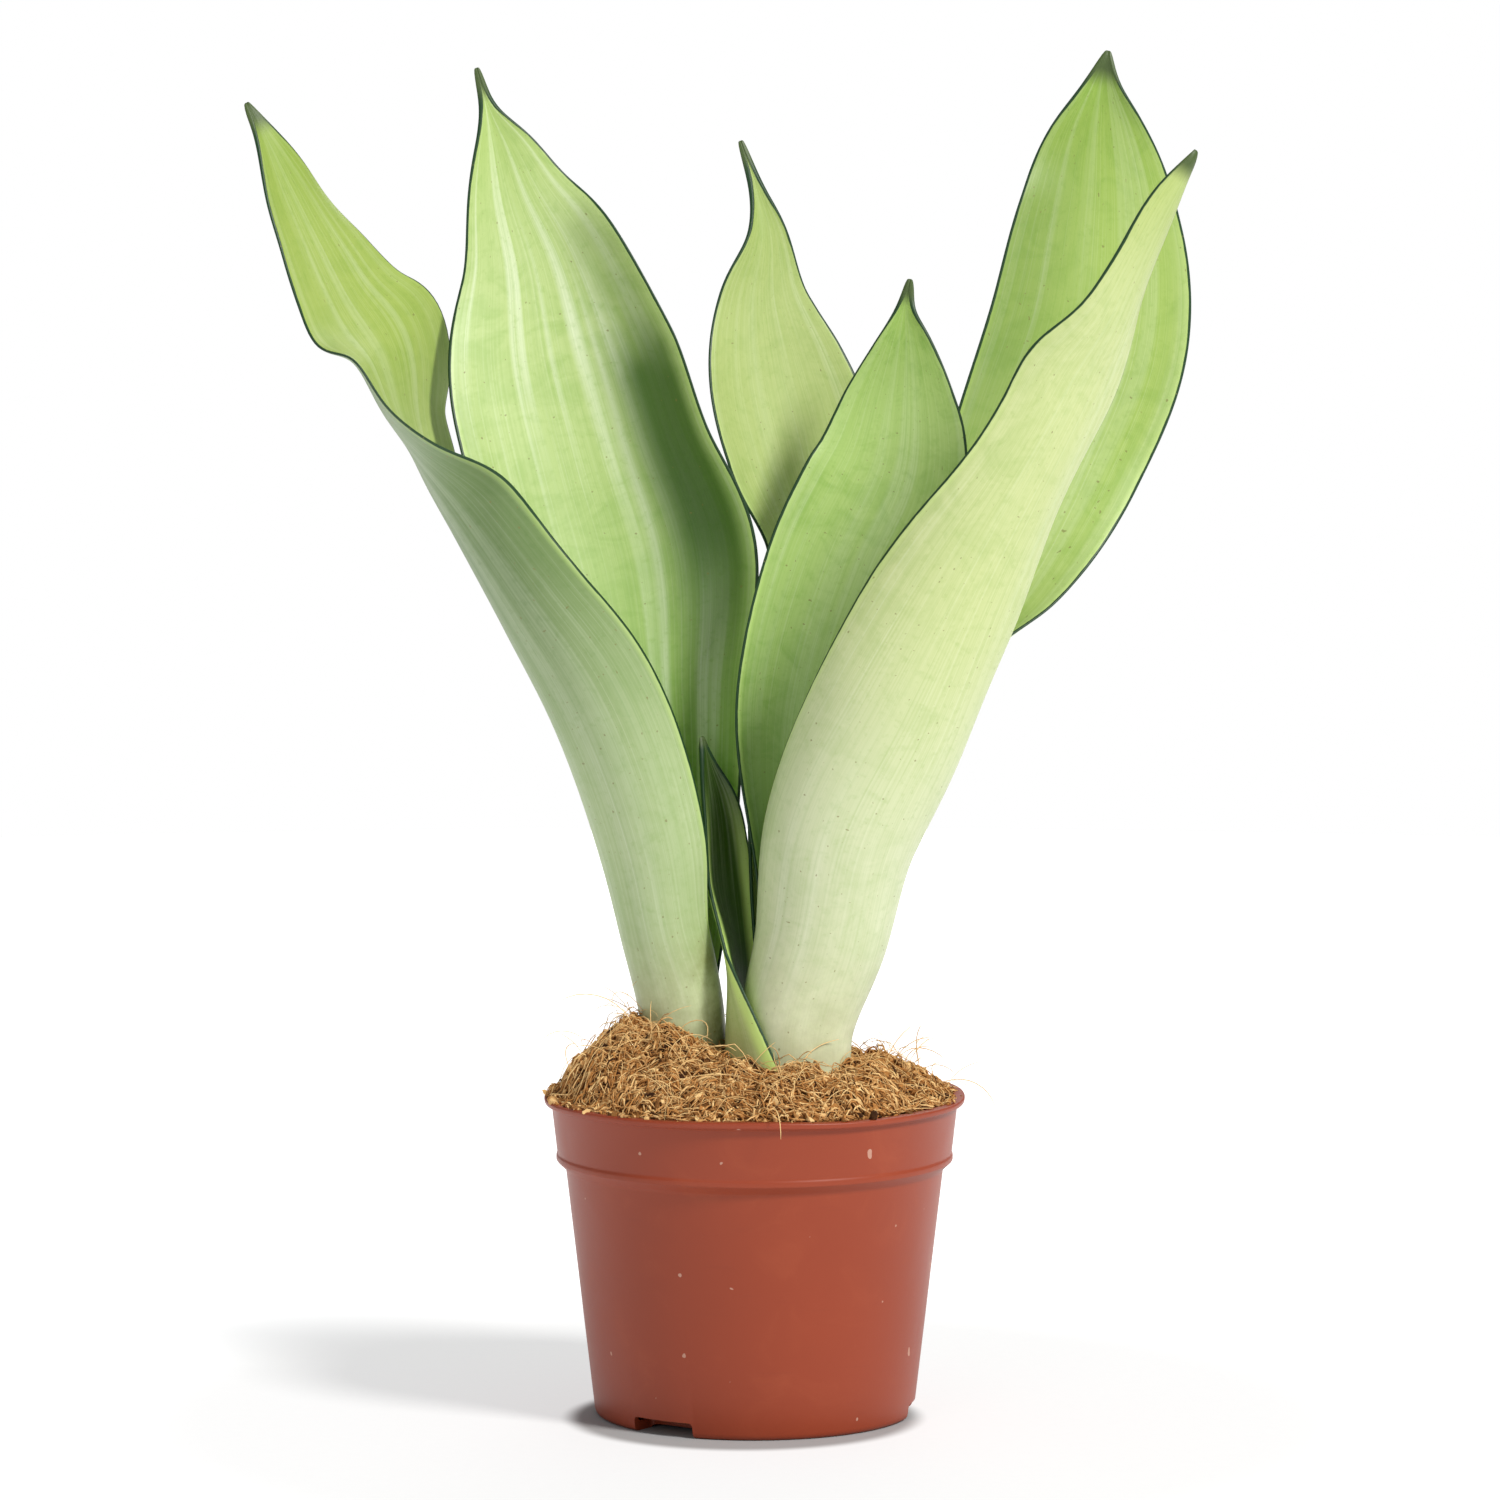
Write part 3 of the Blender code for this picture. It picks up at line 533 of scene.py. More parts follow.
RIGHT_LEAVES = (
    Leaf(
        "leaf_middle", -15, (11, 12), Ripple(1.0, 2.5, 0.3, 0.8),
        (
            Section(0.5, 11.4, 58, 14, -18, 92, 92),
            Section(4.5, 13.9, 111, 24, -24, 78, 78),
            Section(16.5, 16.9, 150, 26, -20, 55, 36),
            Section(28.7, 19.9, 178, 23.5, -18, 40, 24),
            Section(30.9, 21.9, 198, 16.8, -18, 32, 18),
            Section(31.7, 21.9, 214, 8.3, -20, 30, 20),
            Section(32, 22.9, 223, 3, -20, 60, 60),
            Section(33, 22.9, 231, 0.7, -10, 80, 80),
        ),
    ),
    Leaf(
        "leaf_back_middle", 20, (13, 12), Ripple(1.2, 3.0, 0.2, 0.5),
        (
            Section(-6.5, 20.4, 58, 11, 20, 70, 70),
            Section(-3.5, 27.9, 107, 16, 22, 60, 60),
            Section(4.5, 43.9, 155, 18, 25, 36, 40),
            Section(-1.5, 47.9, 180, 26, 25, 40, 45),
            Section(-7.3, 50.9, 205, 23.6, 25, 34, 36),
            Section(-9.5, 52.9, 224, 15.3, 22, 30, 20),
            Section(-8.5, 55.9, 244, 6.5, 20, 55, 20),
            Section(-11, 57.9, 256, 2.6, 15, 80, 60),
            Section(-15.5, 59.9, 270, 0.7, 10, 80, 80),
        ),
    ),
    Leaf(
        "leaf_back_right", -62, (17, 16), Ripple(1.2, 3.0, 0.5, 0.0),
        (
            Section(17.5, 14.9, 58, 16, -62, 80, 80),
            Section(34.5, 31.9, 103, 19, -30, 95, 95),
            Section(45.5, 37.9, 125, 22, -20, 85, 85),
            Section(56, 43.9, 145, 25.5, -6, 66, 52),
            Section(71.5, 51.9, 182, 31, 4, 46, 12),
            Section(83.8, 54.9, 215, 31.5, 8, 34, 2),
            Section(87.5, 57.9, 250, 24.4, 6, 26, 8),
            Section(88.5, 59.9, 275, 13.5, 0, 20, 20),
            Section(89.5, 59.9, 288, 5.2, 0, 60, 60),
            Section(91, 59.9, 296, 0.7, 0, 80, 80),
        ),
    ),
    Leaf(
        "leaf_right_outer", 185, (30, 30), Ripple(1.6, 4.0, 0.7, 0.2),
        (
            Section(9.5, -17.6, 45, 31.5, 187, 96, 96),
            Section(15.5, -22.1, 73, 33.5, 190, 86, 88),
            Section(32.1, -26.1, 108, 33, 202, 68, 72),
            Section(53, -31.1, 153, 25.5, 212, 50, 50),
            Section(73.5, -34.1, 192, 19.5, 221, 37, 37),
            Section(80.5, -34.1, 206, 18.5, 225, 34, 34),
            Section(87.5, -35.1, 219, 14, 229, 30, 28),
            Section(93.5, -35.1, 233, 11.5, 232, 28, 20),
            Section(103.5, -34.1, 254, 7, 235, 35, 35),
            Section(111, -33.1, 268, 0.8, 235, 60, 60),
        ),
    ),
    Leaf(
        "leaf_small", 90, (30, 21), Ripple(0.5, 2.0, 0.0, 0.5),
        (
            Section(-18, 5.9, 37, 13.5, 80, 8, 65),
            Section(-21.5, 12.9, 57, 13, 62, 30, 58),
            Section(-23.5, 12.9, 82, 8, 50, 50, 55),
            Section(-25.5, 11.9, 94, 3, 45, 60, 60),
            Section(-26.5, 11.9, 101, 0.6, 45, 80, 80),
        ),
    ),
)

Shoot = namedtuple("Shoot", "core_radius leaves")
LEFT_SHOOT = Shoot(8.4, LEFT_LEAVES)
RIGHT_SHOOT = Shoot(6.6, RIGHT_LEAVES)
LEFT_SHOOT_AT = (-20.0, 8.0)
LEAF_THICKNESS = 2.4
MARGIN_THICKNESS = 0.9
NEST_GAP = 0.6
SHOOT_GAP = 0.4
SHOOT_BEARING = math.radians(-17.0)
NEST_FOOT, NEST_TOP = 3.0, 16.0
ACROSS = 20
ALONG = 96
THINNING_POWER = 2.4  # how near the margin a blade starts to thin
THICKEST_FOR_WIDTH = 1.1  # a narrow tip is no thicker than this many half-widths
RIPPLE_START, RIPPLE_GROWTH = 0.2, 0.3  # shares of the blade's length from its base
RIPPLE_END, RIPPLE_FADE = 0.97, 0.15
RIPPLE_POWER = 3  # how near the margin the ripple grows
TANGENT_REACH = 0.5  # millimetres to either side, over which a blade's direction is measured
STRAIGHT = 1e-6  # radians; a smaller curl counts as this much


def nest_radius(shoot, level):
    return shoot.core_radius + level * (LEAF_THICKNESS + NEST_GAP)


def shoot_middle(shoot):
    if shoot is LEFT_SHOOT:
        return np.array(LEFT_SHOOT_AT)
    outer = sum(nest_radius(each, len(each.leaves) - 1) for each in (LEFT_SHOOT, RIGHT_SHOOT))
    apart = outer + LEAF_THICKNESS + SHOOT_GAP
    way = np.array([math.cos(SHOOT_BEARING), math.sin(SHOOT_BEARING)])
    return np.array(LEFT_SHOOT_AT) + apart * way


def cubic(knots, values, at):
    """A smooth curve through the values, with each slope taken from the points on either side."""
    slopes = np.gradient(values, knots, axis=0)
    index = np.clip(np.searchsorted(knots, at, side="right") - 1, 0, len(knots) - 2)
    span = (knots[index + 1] - knots[index])[:, None]
    s = (at - knots[index])[:, None] / span
    return (
        (2 * s**3 - 3 * s**2 + 1) * values[index]
        + (s**3 - 2 * s**2 + s) * span * slopes[index]
        + (3 * s**2 - 2 * s**3) * values[index + 1]
        + (s**3 - s**2) * span * slopes[index + 1]
    )


def looking(facing):
    angle = np.radians(facing)
    return np.stack([np.sin(angle), -np.cos(angle), np.zeros_like(angle)], axis=-1)


def leaf_table(shoot, level):
    """The leaf's cross-sections: two wrapped round the shoot, then the free ones, in millimetres."""
    leaf = shoot.leaves[level]
    radius = nest_radius(shoot, level)
    middle = shoot_middle(shoot)
    x, y = middle - radius * looking(leaf.facing)[:2]
    table = []
    for up, half_width in zip((NEST_FOOT, NEST_TOP), leaf.nest_widths):
        curl = math.degrees(half_width / radius)
        table.append((x, y, RIM / MM + up, half_width, leaf.facing, curl, curl))
    for section in leaf.sections:
        x, y = middle + np.array([section.x, section.y])
        table.append((x, y, RIM / MM + section.up, *section[3:]))
    return np.array(table)


def leaf_surface(shoot, level, rows):
    """Points of the blade's middle surface for each row from base to tip, and each row's half-width."""
    table = leaf_table(shoot, level)
    ripple = shoot.leaves[level].ripple
    knots = np.concatenate([[0.0], np.cumsum(np.linalg.norm(np.diff(table[:, :3], axis=0), axis=1))])
    at = rows * knots[-1]
    values = cubic(knots, table, at)
    along = cubic(knots, table[:, :3], np.minimum(at + TANGENT_REACH, knots[-1]))
    along = along - cubic(knots, table[:, :3], np.maximum(at - TANGENT_REACH, 0.0))
    along /= np.linalg.norm(along, axis=1)[:, None]
    inward = looking(values[:, 4])
    inward -= np.sum(inward * along, axis=1)[:, None] * along
    inward /= np.linalg.norm(inward, axis=1)[:, None]
    across = np.cross(along, inward)
    half_width = values[:, 3]
    grown = np.clip((rows - RIPPLE_START) / RIPPLE_GROWTH, 0.0, 1.0)
    grown = grown * np.clip((RIPPLE_END - rows) / RIPPLE_FADE, 0.0, 1.0)
    points = []
    for u in np.linspace(-1.0, 1.0, ACROSS + 1):
        left = u < 0
        curl = np.radians(values[:, 5] if left else values[:, 6])
        curl = np.where(np.abs(curl) < STRAIGHT, STRAIGHT, curl)
        radius = half_width / curl
        out = (-1 if left else 1) * radius * np.sin(curl * abs(u))
        rise = radius * (1.0 - np.cos(curl * abs(u)))
        wave = np.sin(2 * np.pi * (ripple.waves * rows + (ripple.left if left else ripple.right)))
        rise = rise + ripple.height * wave * grown * abs(u) ** RIPPLE_POWER
        points.append(values[:, :3] + out[:, None] * across + rise[:, None] * inward)
    return np.stack(points, axis=1), half_width


# How a leaf is coloured: each face at the base and towards the tip, how strongly painted shade
# darkens its left and its right half, how strong its pale streaks, its cross bars, its pale edge band
# (painted light where strong) and the brown at its base (partly painted shade) are, and a number that
# shifts its pattern.
Looks = namedtuple(
    "Looks", "inner_base inner_tip outer_base outer_tip left_deep right_deep streaks bars rim stain shift"
)
LOOKS = {
    # Its outer face is darker towards the tip: painted shade, as that face turns away from the key light.
    "leaf_left_outer": Looks(
        (232, 240, 205), (158, 178, 88), (168, 186, 134), (106, 130, 76),
        0.0, 0.0, 0.4, 0.4, 0.3, 1.0, 1.3,
    ),
    "leaf_left_inner": Looks(
        (138, 178, 80), (186, 206, 136), (160, 180, 120), (150, 175, 110),
        0.0, 1.0, 1.9, 0.7, 0.3, 0.0, 4.1,
    ),
    # Its inner face is darker towards the base: painted shade, where the leaves in front shadow it.
    "leaf_middle": Looks(
        (128, 164, 90), (176, 204, 118), (150, 172, 115), (150, 175, 110),
        0.14, 0.0, 0.5, 1.0, 0.3, 0.0, 7.7,
    ),
    "leaf_back_middle": Looks(
        (164, 189, 108), (174, 190, 118), (160, 180, 120), (160, 180, 120),
        0.0, 0.0, 0.4, 0.5, 0.3, 0.0, 9.2,
    ),
    "leaf_back_right": Looks(
        (212, 232, 150), (164, 190, 98), (150, 175, 115), (150, 175, 110),
        0.42, 0.0, 0.5, 0.6, 0.3, 0.0, 12.6,
    ),
    "leaf_right_outer": Looks(
        (170, 190, 110), (186, 208, 104), (200, 208, 168), (194, 205, 142),
        0.0, 0.0, 0.4, 0.5, 0.3, 0.7, 15.8,
    ),
    # The small leaf's inner face is a deep dark green: painted shade, as that face lies in the shadow of
    # the other leaves.
    "leaf_small": Looks(
        (58, 98, 8), (54, 84, 16), (188, 204, 136), (120, 155, 70),
        0.0, 0.0, 0.4, 0.4, 1.0, 0.5, 19.4,
    ),
}


# A pattern on a leaf: how many waves it has across and along the blade, the noise's detail and
# roughness, how far it is warped and how far it is shifted from the leaf's other patterns.
Pattern = namedtuple("Pattern", "across along detail rough warp shift")
FINE_STREAKS = Pattern(120.0, 2.6, 5.0, 0.62, 0.0, 0.0)
NARROW_STREAKS = Pattern(42.0, 1.8, 4.0, 0.65, 0.0, 0.0)
BROAD_STREAKS = Pattern(11.0, 1.2, 2.0, 0.5, 0.0, 0.0)
CROSS_BARS = Pattern(5.0, 34.0, 4.0, 0.55, 1.2, 0.0)
MOTTLE = Pattern(30.0, 130.0, 4.0, 0.6, 0.0, 6.0)
SPECKS = Pattern(60.0, 240.0, 0.0, 0.5, 0.0, 3.0)
MARGIN_WOBBLE = Pattern(4.0, 60.0, 3.0, 0.5, 0.0, 0.0)
CELLS = Pattern(260.0, 420.0, 2.0, 0.5, 0.0, 0.0)

# Each pair says where a change is nil and where it is full, along or across the blade from 0 to 1.
INNER_CHANGES, OUTER_CHANGES = (0.15, 0.75), (0.2, 0.55)
TIP_DEEPENS, TIP_BROWNS = (0.8, 0.97), (0.962, 0.985)
# These two lines: where painted shade lies on the left and on the right half, across and along the blade;
# on the right it stops short of the edge, which stays bright.
LEFT_SHADE_ACROSS, LEFT_SHADE_BEGINS, LEFT_SHADE_ENDS = (0.6, 0.12), (0.2, 0.42), (0.97, 0.85)
RIGHT_SHADE_ACROSS, RIGHT_SHADE_RIM, RIGHT_SHADE_BEGINS, RIGHT_SHADE_ENDS = (0.56, 0.78), (1.0, 0.9), (0.28, 0.52), (0.84, 0.64)
# Where the brown at the base fades along the blade, and the side where it is stronger: partly real
# blotches, partly painted shade.
BASE_FADES, STAIN_AND_SHADE_FADES, STAIN_SHADE_SIDE = (0.16, 0.02), (0.17, 0.06), (0.3, 0.05)
RIM_FADES = (0.9, 0.5)
MARGIN_LINE = (0.68, 0.42)  # millimetres from the margin

DEEPER, PALER, TIP_TINT = (0.62, 0.76, 0.48), (0.88, 0.93, 0.76), (0.74, 0.82, 0.5)
# The first colour is painted shade for halves turned from the light; the last is the brown at the base,
# partly real blotches and partly painted shade.
PAINTED_SHADE_GREEN, BASE_WHITE, STAIN_AND_SHADE = paint(52, 90, 16), paint(226, 228, 190), paint(104, 104, 34)
RIM_GREEN, MARGIN_GREEN = paint(204, 232, 132), paint(28, 62, 30)
TIP_BROWN, SPECK_BROWN = paint(74, 92, 48), paint(120, 110, 60)


def leaf_finish(name):
    """Layers: the two faces, bars, streaks, tip, painted shade on the halves, stains and painted shade,
    pale edge with painted light, margin, specks.
    """
    looks = LOOKS[name]
    finish = Finish(name, gloss=0.4)
    spread = finish.node("ShaderNodeUVMap", {"uv_map": "UVMap"}, {})
    split = finish.tree.nodes.new("ShaderNodeSeparateXYZ")
    finish.tree.links.new(spread.socket, split.inputs[0])
    across, along = Signal(finish, split.outputs[0]), Signal(finish, split.outputs[1])
    face = finish.read("face").within()
    margin = finish.read("margin")
    at = finish.place()

    def pattern(kind):
        spot = finish.vector(across * kind.across, along * kind.along, looks.shift + kind.shift)
        return finish.noise(spot, 1.0, kind.detail, kind.rough, kind.warp)

    fine, narrow, broad = pattern(FINE_STREAKS), pattern(NARROW_STREAKS), pattern(BROAD_STREAKS)
    bars = pattern(CROSS_BARS)
    cloud = finish.noise(at, 22.0, 3.0)

    inner = finish.mix(along.step(*INNER_CHANGES), paint(*looks.inner_base), paint(*looks.inner_tip))
    outer = finish.mix(along.step(*OUTER_CHANGES), paint(*looks.outer_base), paint(*looks.outer_tip))
    green = finish.mix(face, inner, outer)
    deeper = finish.mix(1.0, green, DEEPER, "MULTIPLY")
    paler = finish.mix(0.6, green, PALER)

    barred = ((bars - 0.5) * 2.4 + (cloud - 0.5) * 1.6 + 0.12).within()
    green = finish.mix(barred * looks.bars, green, deeper)
    pale_streaks = broad.step(0.46, 0.7) * (0.5 + narrow * 0.7) + narrow.step(0.54, 0.74) * 0.3
    green = finish.mix((pale_streaks * (cloud + 0.2) * 0.75 * looks.streaks).within(), green, paler)
    green = finish.mix(narrow.step(0.48, 0.3) * 0.24, green, deeper)
    green = finish.mix(fine.step(0.46, 0.7) * 0.28, green, deeper)
    green = finish.mix(fine.step(0.48, 0.28) * 0.2, green, paler)
    green = finish.mix(pattern(MOTTLE).step(0.5, 0.75) * 0.3, green, deeper)

    tip = finish.mix(1.0, green, TIP_TINT, "MULTIPLY")
    green = finish.mix(along.step(*TIP_DEEPENS) * 0.75, green, tip)
    # Painted shade: the halves that turn away from the key light are darkened in their colour, each by the
    # leaf's own strength.
    left = across.step(*LEFT_SHADE_ACROSS) * along.step(*LEFT_SHADE_BEGINS) * along.step(*LEFT_SHADE_ENDS)
    right = across.step(*RIGHT_SHADE_ACROSS) * across.step(*RIGHT_SHADE_RIM) * along.step(*RIGHT_SHADE_BEGINS)
    right = right * (along + (cloud - 0.5) * 0.3).step(*RIGHT_SHADE_ENDS)
    turned = left * looks.left_deep + right * looks.right_deep
    green = finish.mix((turned * 0.92).within(), green, PAINTED_SHADE_GREEN)

    green = finish.mix(along.step(*BASE_FADES) * 0.55, green, BASE_WHITE)
    # Blotches at the base: partly a real stain, partly painted shade that is stronger on the shaded side.
    stain_and_shade_mask = finish.noise(at, 70.0, 5.0, 0.7).step(0.3, 0.66) * along.step(*STAIN_AND_SHADE_FADES)
    stain_and_shade_mask = stain_and_shade_mask * (0.55 + across.step(*STAIN_SHADE_SIDE))
    green = finish.mix((stain_and_shade_mask * looks.stain * 0.6).within(), green, STAIN_AND_SHADE)
    # A pale band along the margin; at full strength, as on the small leaf, it is painted light on a strip
    # that lies in shade.
    rim_reach = 1.5 + 4.5 * looks.rim
    rim = margin.step(rim_reach, 0.35 * rim_reach) * along.step(*RIM_FADES)
    green = finish.mix(rim * looks.rim, green, RIM_GREEN)
    line = (margin + (pattern(MARGIN_WOBBLE) - 0.5) * 0.5).step(*MARGIN_LINE)
    green = finish.mix(line, green, MARGIN_GREEN)
    green = finish.mix(along.step(*TIP_BROWNS), green, TIP_BROWN)
    green = finish.mix(pattern(SPECKS).step(0.81, 0.85) * 0.6, green, SPECK_BROWN)

    rough = 0.34 + fine * 0.12 + bars * 0.06
    finish.bump(fine * 0.7 + broad * 0.6 + pattern(CELLS) * 0.2 + bars * 0.35, 0.22, 0.35 * MM)
    return finish.feed(base_color=green, roughness=rough)


def make_leaf(shoot, level):
    leaf = shoot.leaves[level]
    bpy.ops.mesh.primitive_grid_add(x_subdivisions=ACROSS, y_subdivisions=ALONG, size=2.0)
    piece = new_piece(leaf.name.replace("leaf", "blade"))
    mesh = piece.data
    spots = places(mesh)
    order = np.lexsort((spots[:, 0].round(5), spots[:, 1].round(5)))
    rows = np.linspace(0.0, 1.0, ALONG + 1)
    surface, half_width = leaf_surface(shoot, level, rows)
    spots[order] = surface.reshape(-1, 3) * MM
    put(mesh, spots)
    to_margin = np.abs(np.linspace(-1.0, 1.0, ACROSS + 1))
    from_margin = np.outer(half_width, 1.0 - to_margin)
    thick = MARGIN_THICKNESS + (LEAF_THICKNESS - MARGIN_THICKNESS) * (1.0 - to_margin**THINNING_POWER)
    thick = np.minimum(thick[None, :], THICKEST_FOR_WIDTH * half_width[:, None])
    margin = np.zeros(len(spots))
    margin[order] = from_margin.ravel()
    note(mesh, "margin", margin)
    group = piece.vertex_groups.new(name="thickness")
    for index, share in zip(order.tolist(), (thick / LEAF_THICKNESS).ravel().tolist()):
        group.add([index], share, "REPLACE")
    count = len(mesh.vertices)
    finish_with(piece, "SOLIDIFY", thickness=LEAF_THICKNESS * MM, offset=0.0, vertex_group="thickness")
    # The modifier lists the inner face's shell first, so a number from count on is on the outer face.
    note(piece.data, "face", np.arange(len(piece.data.vertices)) >= count)
    finish_with(piece, "SUBSURF", levels=1, render_levels=1)
    facing_out(piece)
    smooth(piece)
    piece.data.materials.append(leaf_finish(leaf.name))
    place_on_frame(piece, leaf.name, leaf.name)


# ---- Potting coir ----------------------------------------
HEAP_RADIUS = COLLAR_TOP - WALL - 0.3 * MM
HEAP_EDGE = RIM - 0.9 * MM
HEAP_HEIGHT = 10.0 * MM
HEAP_POWER = 4.6  # how flat the heap's middle is
ON_LIP = RIM - 0.1 * MM
# The heap is higher at the left.
BUMP_AT = (-33.0 * MM, 0.0)
BUMP_HEIGHT = 12.0 * MM
BUMP_SPREAD = 16.0 * MM
BUMP_EDGE_POWER = 18
# The heap's unevenness: the height and the size of each set of waves, and its seed.
UNEVEN = ((1.3 * MM, 23 * MM, 3), (1.0 * MM, 9 * MM, 5))
WAVES, AROUND = 7, 6.28  # waves crossed in each set, and one turn in radians
COIR_DARK, COIR_BROWN, COIR_GOLD = paint(58, 32, 14), paint(180, 124, 66), paint(240, 202, 140)
BED_GAP, BED_SIDES = 0.6 * MM, 96
BED_GRAIN, BED_LUMPS = 1.15 * MM, 0.45 * MM
BED_SINKS = 0.8 * MM  # the bed lies this far under the heap's height
BED_TOP = HEAP_EDGE - 1.2 * MM  # only what is above this is raised into a heap
BED_UNDER_SHOOT = 1.6  # the bed is cut down under a shoot, this far within its core


def ripples(x, y, size, seed):
    """A smooth uneven surface between about -1 and 1, from a few crossed waves."""
    waves = np.random.default_rng(seed)
    total = np.zeros_like(x)
    for _ in range(WAVES):
        angle, phase, stretch = waves.uniform(0, AROUND), waves.uniform(0, AROUND), waves.uniform(0.7, 1.5)
        along = x * math.cos(angle) + y * math.sin(angle)
        total = total + np.sin(along * stretch * AROUND / size + phase)
    return total / (WAVES / 2)


def heap_height(x, y):
    """How high the coir lies at a place."""
    share = np.clip(np.hypot(x, y) / HEAP_RADIUS, 0.0, 1.0)
    inside = np.maximum(0.0, 1.0 - share**BUMP_EDGE_POWER)
    away = (x - BUMP_AT[0]) ** 2 + (y - BUMP_AT[1]) ** 2
    bump = BUMP_HEIGHT * np.exp(-away / (2 * BUMP_SPREAD**2))
    uneven = sum(height * ripples(x, y, size, seed) for height, size, seed in UNEVEN)
    heap = HEAP_EDGE + HEAP_HEIGHT * (1.0 - share**HEAP_POWER) + (bump + uneven) * inside
    return np.where(np.hypot(x, y) > HEAP_RADIUS, ON_LIP, heap)


def coir_colour(finish, tone, at):
    """Dark to golden brown by tone, with a little fine variation."""
    fine = finish.noise(at, 900.0, 3.0)
    shade = (tone + (fine - 0.5) * 0.5).within()
    brown = finish.mix(shade.step(0.0, 0.45), COIR_DARK, COIR_BROWN)
    return finish.mix(shade.step(0.4, 1.0), brown, COIR_GOLD)


def coir_finish(name, bump):
    finish = Finish(name, gloss=0.2)
    at = finish.place()
    tone = finish.read("tone")
    finish.bump(finish.noise(at, 1500.0, 4.0, 0.7), bump, 0.5 * MM)
    return finish.feed(base_color=coir_colour(finish, tone, at), roughness=0.92)


def make_coir_bed():
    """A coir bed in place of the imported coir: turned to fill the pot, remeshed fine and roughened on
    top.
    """
    outline = [
        (AXIS_GAP, FLOOR_TOP + BED_GAP),
        (BODY_FOOT - WALL - BED_GAP - 1.5 * MM, FLOOR_TOP + BED_GAP),
        (BODY_TOP - WALL - BED_GAP, BODY_TOP_UP),
        (COLLAR_FOOT - WALL - BED_GAP, COLLAR_FOOT_UP),
        (HEAP_RADIUS - 0.1 * MM, HEAP_EDGE - 1.5 * MM),
        (HEAP_RADIUS - 0.3 * MM, HEAP_EDGE),
        (AXIS_GAP, HEAP_EDGE),
    ]
    bed = turn_up("coir_bed", outline, BED_SIDES)
    finish_with(bed, "REMESH", mode="VOXEL", voxel_size=BED_GRAIN)
    spots = places(bed.data)
    x, y, z = spots.T
    top = z > BED_TOP
    rise = heap_height(x, y) - HEAP_EDGE
    lumps = random.normal(0.0, BED_LUMPS, len(x))
    spots[:, 2] = np.where(top, z + rise - BED_SINKS + lumps, z)
    for shoot in (LEFT_SHOOT, RIGHT_SHOOT):
        middle = shoot_middle(shoot) * MM
        core = (shoot.core_radius - BED_UNDER_SHOOT) * MM
        inside = np.hypot(x - middle[0], y - middle[1]) < core
        spots[:, 2] = np.where(top & inside, RIM + NEST_FOOT * MM, spots[:, 2])
    put(bed.data, spots)
    note(bed.data, "tone", random.uniform(0.1, 0.45, len(x)))
    facing_out(bed)
    smooth(bed)
    bed.data.materials.append(coir_finish("coir_bed", 0.6))
    place_on_frame(bed, "coir", "potting_coir")


# Crumbs and bark bits: how many, how far out they lie, how many shapes, and each shape's length, width
# and thickness, before they are scaled.
Bits = namedtuple("Bits", "count edge shapes long wide thick")
CRUMBS = Bits(6800, 1.055, 8, 1.3, (0.4, 0.9), (0.3, 0.6))
BARK = Bits(90, 0.94, 5, 1.0, (0.45, 0.8), (0.2, 0.32))


def turn_matrices(count):
    """As many random rotations, evenly spread over all directions."""
    q = random.normal(size=(count, 4))
    a, b, c, d = (q / np.linalg.norm(q, axis=1)[:, None]).T
    rows = [
        [1 - 2 * (c * c + d * d), 2 * (b * c - a * d), 2 * (b * d + a * c)],
        [2 * (b * c + a * d), 1 - 2 * (b * b + d * d), 2 * (c * d - a * b)],
        [2 * (b * d - a * c), 2 * (c * d + a * b), 1 - 2 * (b * b + c * c)],
    ]
    return np.array(rows).transpose(2, 0, 1)


def spread_over_heap(count, edge):
    radius = HEAP_RADIUS * edge * np.sqrt(random.uniform(0.0, 1.0, count))
    angle = random.uniform(0.0, 2 * math.pi, count)
    return radius * np.cos(angle), radius * np.sin(angle)


def on_lip_at_left(x, y):
    """Beyond the heap, on the pot's lip, only a little lies about, and most of that at the left."""
    over = np.hypot(x, y) > HEAP_RADIUS * 0.995
    return ~over | (x < -34.0 * MM) | (random.uniform(0.0, 1.0, len(x)) < 0.1)


def clear_of_shoots(x, y, spare):
    """True where a place lies outside both shoots."""
    clear = np.ones(len(x), dtype=bool)
    for shoot in (LEFT_SHOOT, RIGHT_SHOOT):
        middle = shoot_middle(shoot) * MM
        clear &= np.hypot(x - middle[0], y - middle[1]) > (shoot.core_radius + spare) * MM
    return clear


def crumb_shape(lumps):
    """One crumb: a small ball of 20 faces, pulled out of round."""
    bpy.ops.mesh.primitive_ico_sphere_add(subdivisions=1, radius=1.0)
    crumb = new_piece("crumb")
    shape = places(crumb.data) * random.uniform(0.6, 1.3, (len(crumb.data.vertices), 1)) * lumps
    corners = np.zeros(len(crumb.data.loops), dtype=int)
    crumb.data.loops.foreach_get("vertex_index", corners)
    bpy.data.objects.remove(crumb, do_unlink=True)
    return shape, corners.reshape(-1, 3)


def bit_shapes(bits):
    return [
        crumb_shape(np.array([bits.long, random.uniform(*bits.wide), random.uniform(*bits.thick)]))
        for _ in range(bits.shapes)
    ]


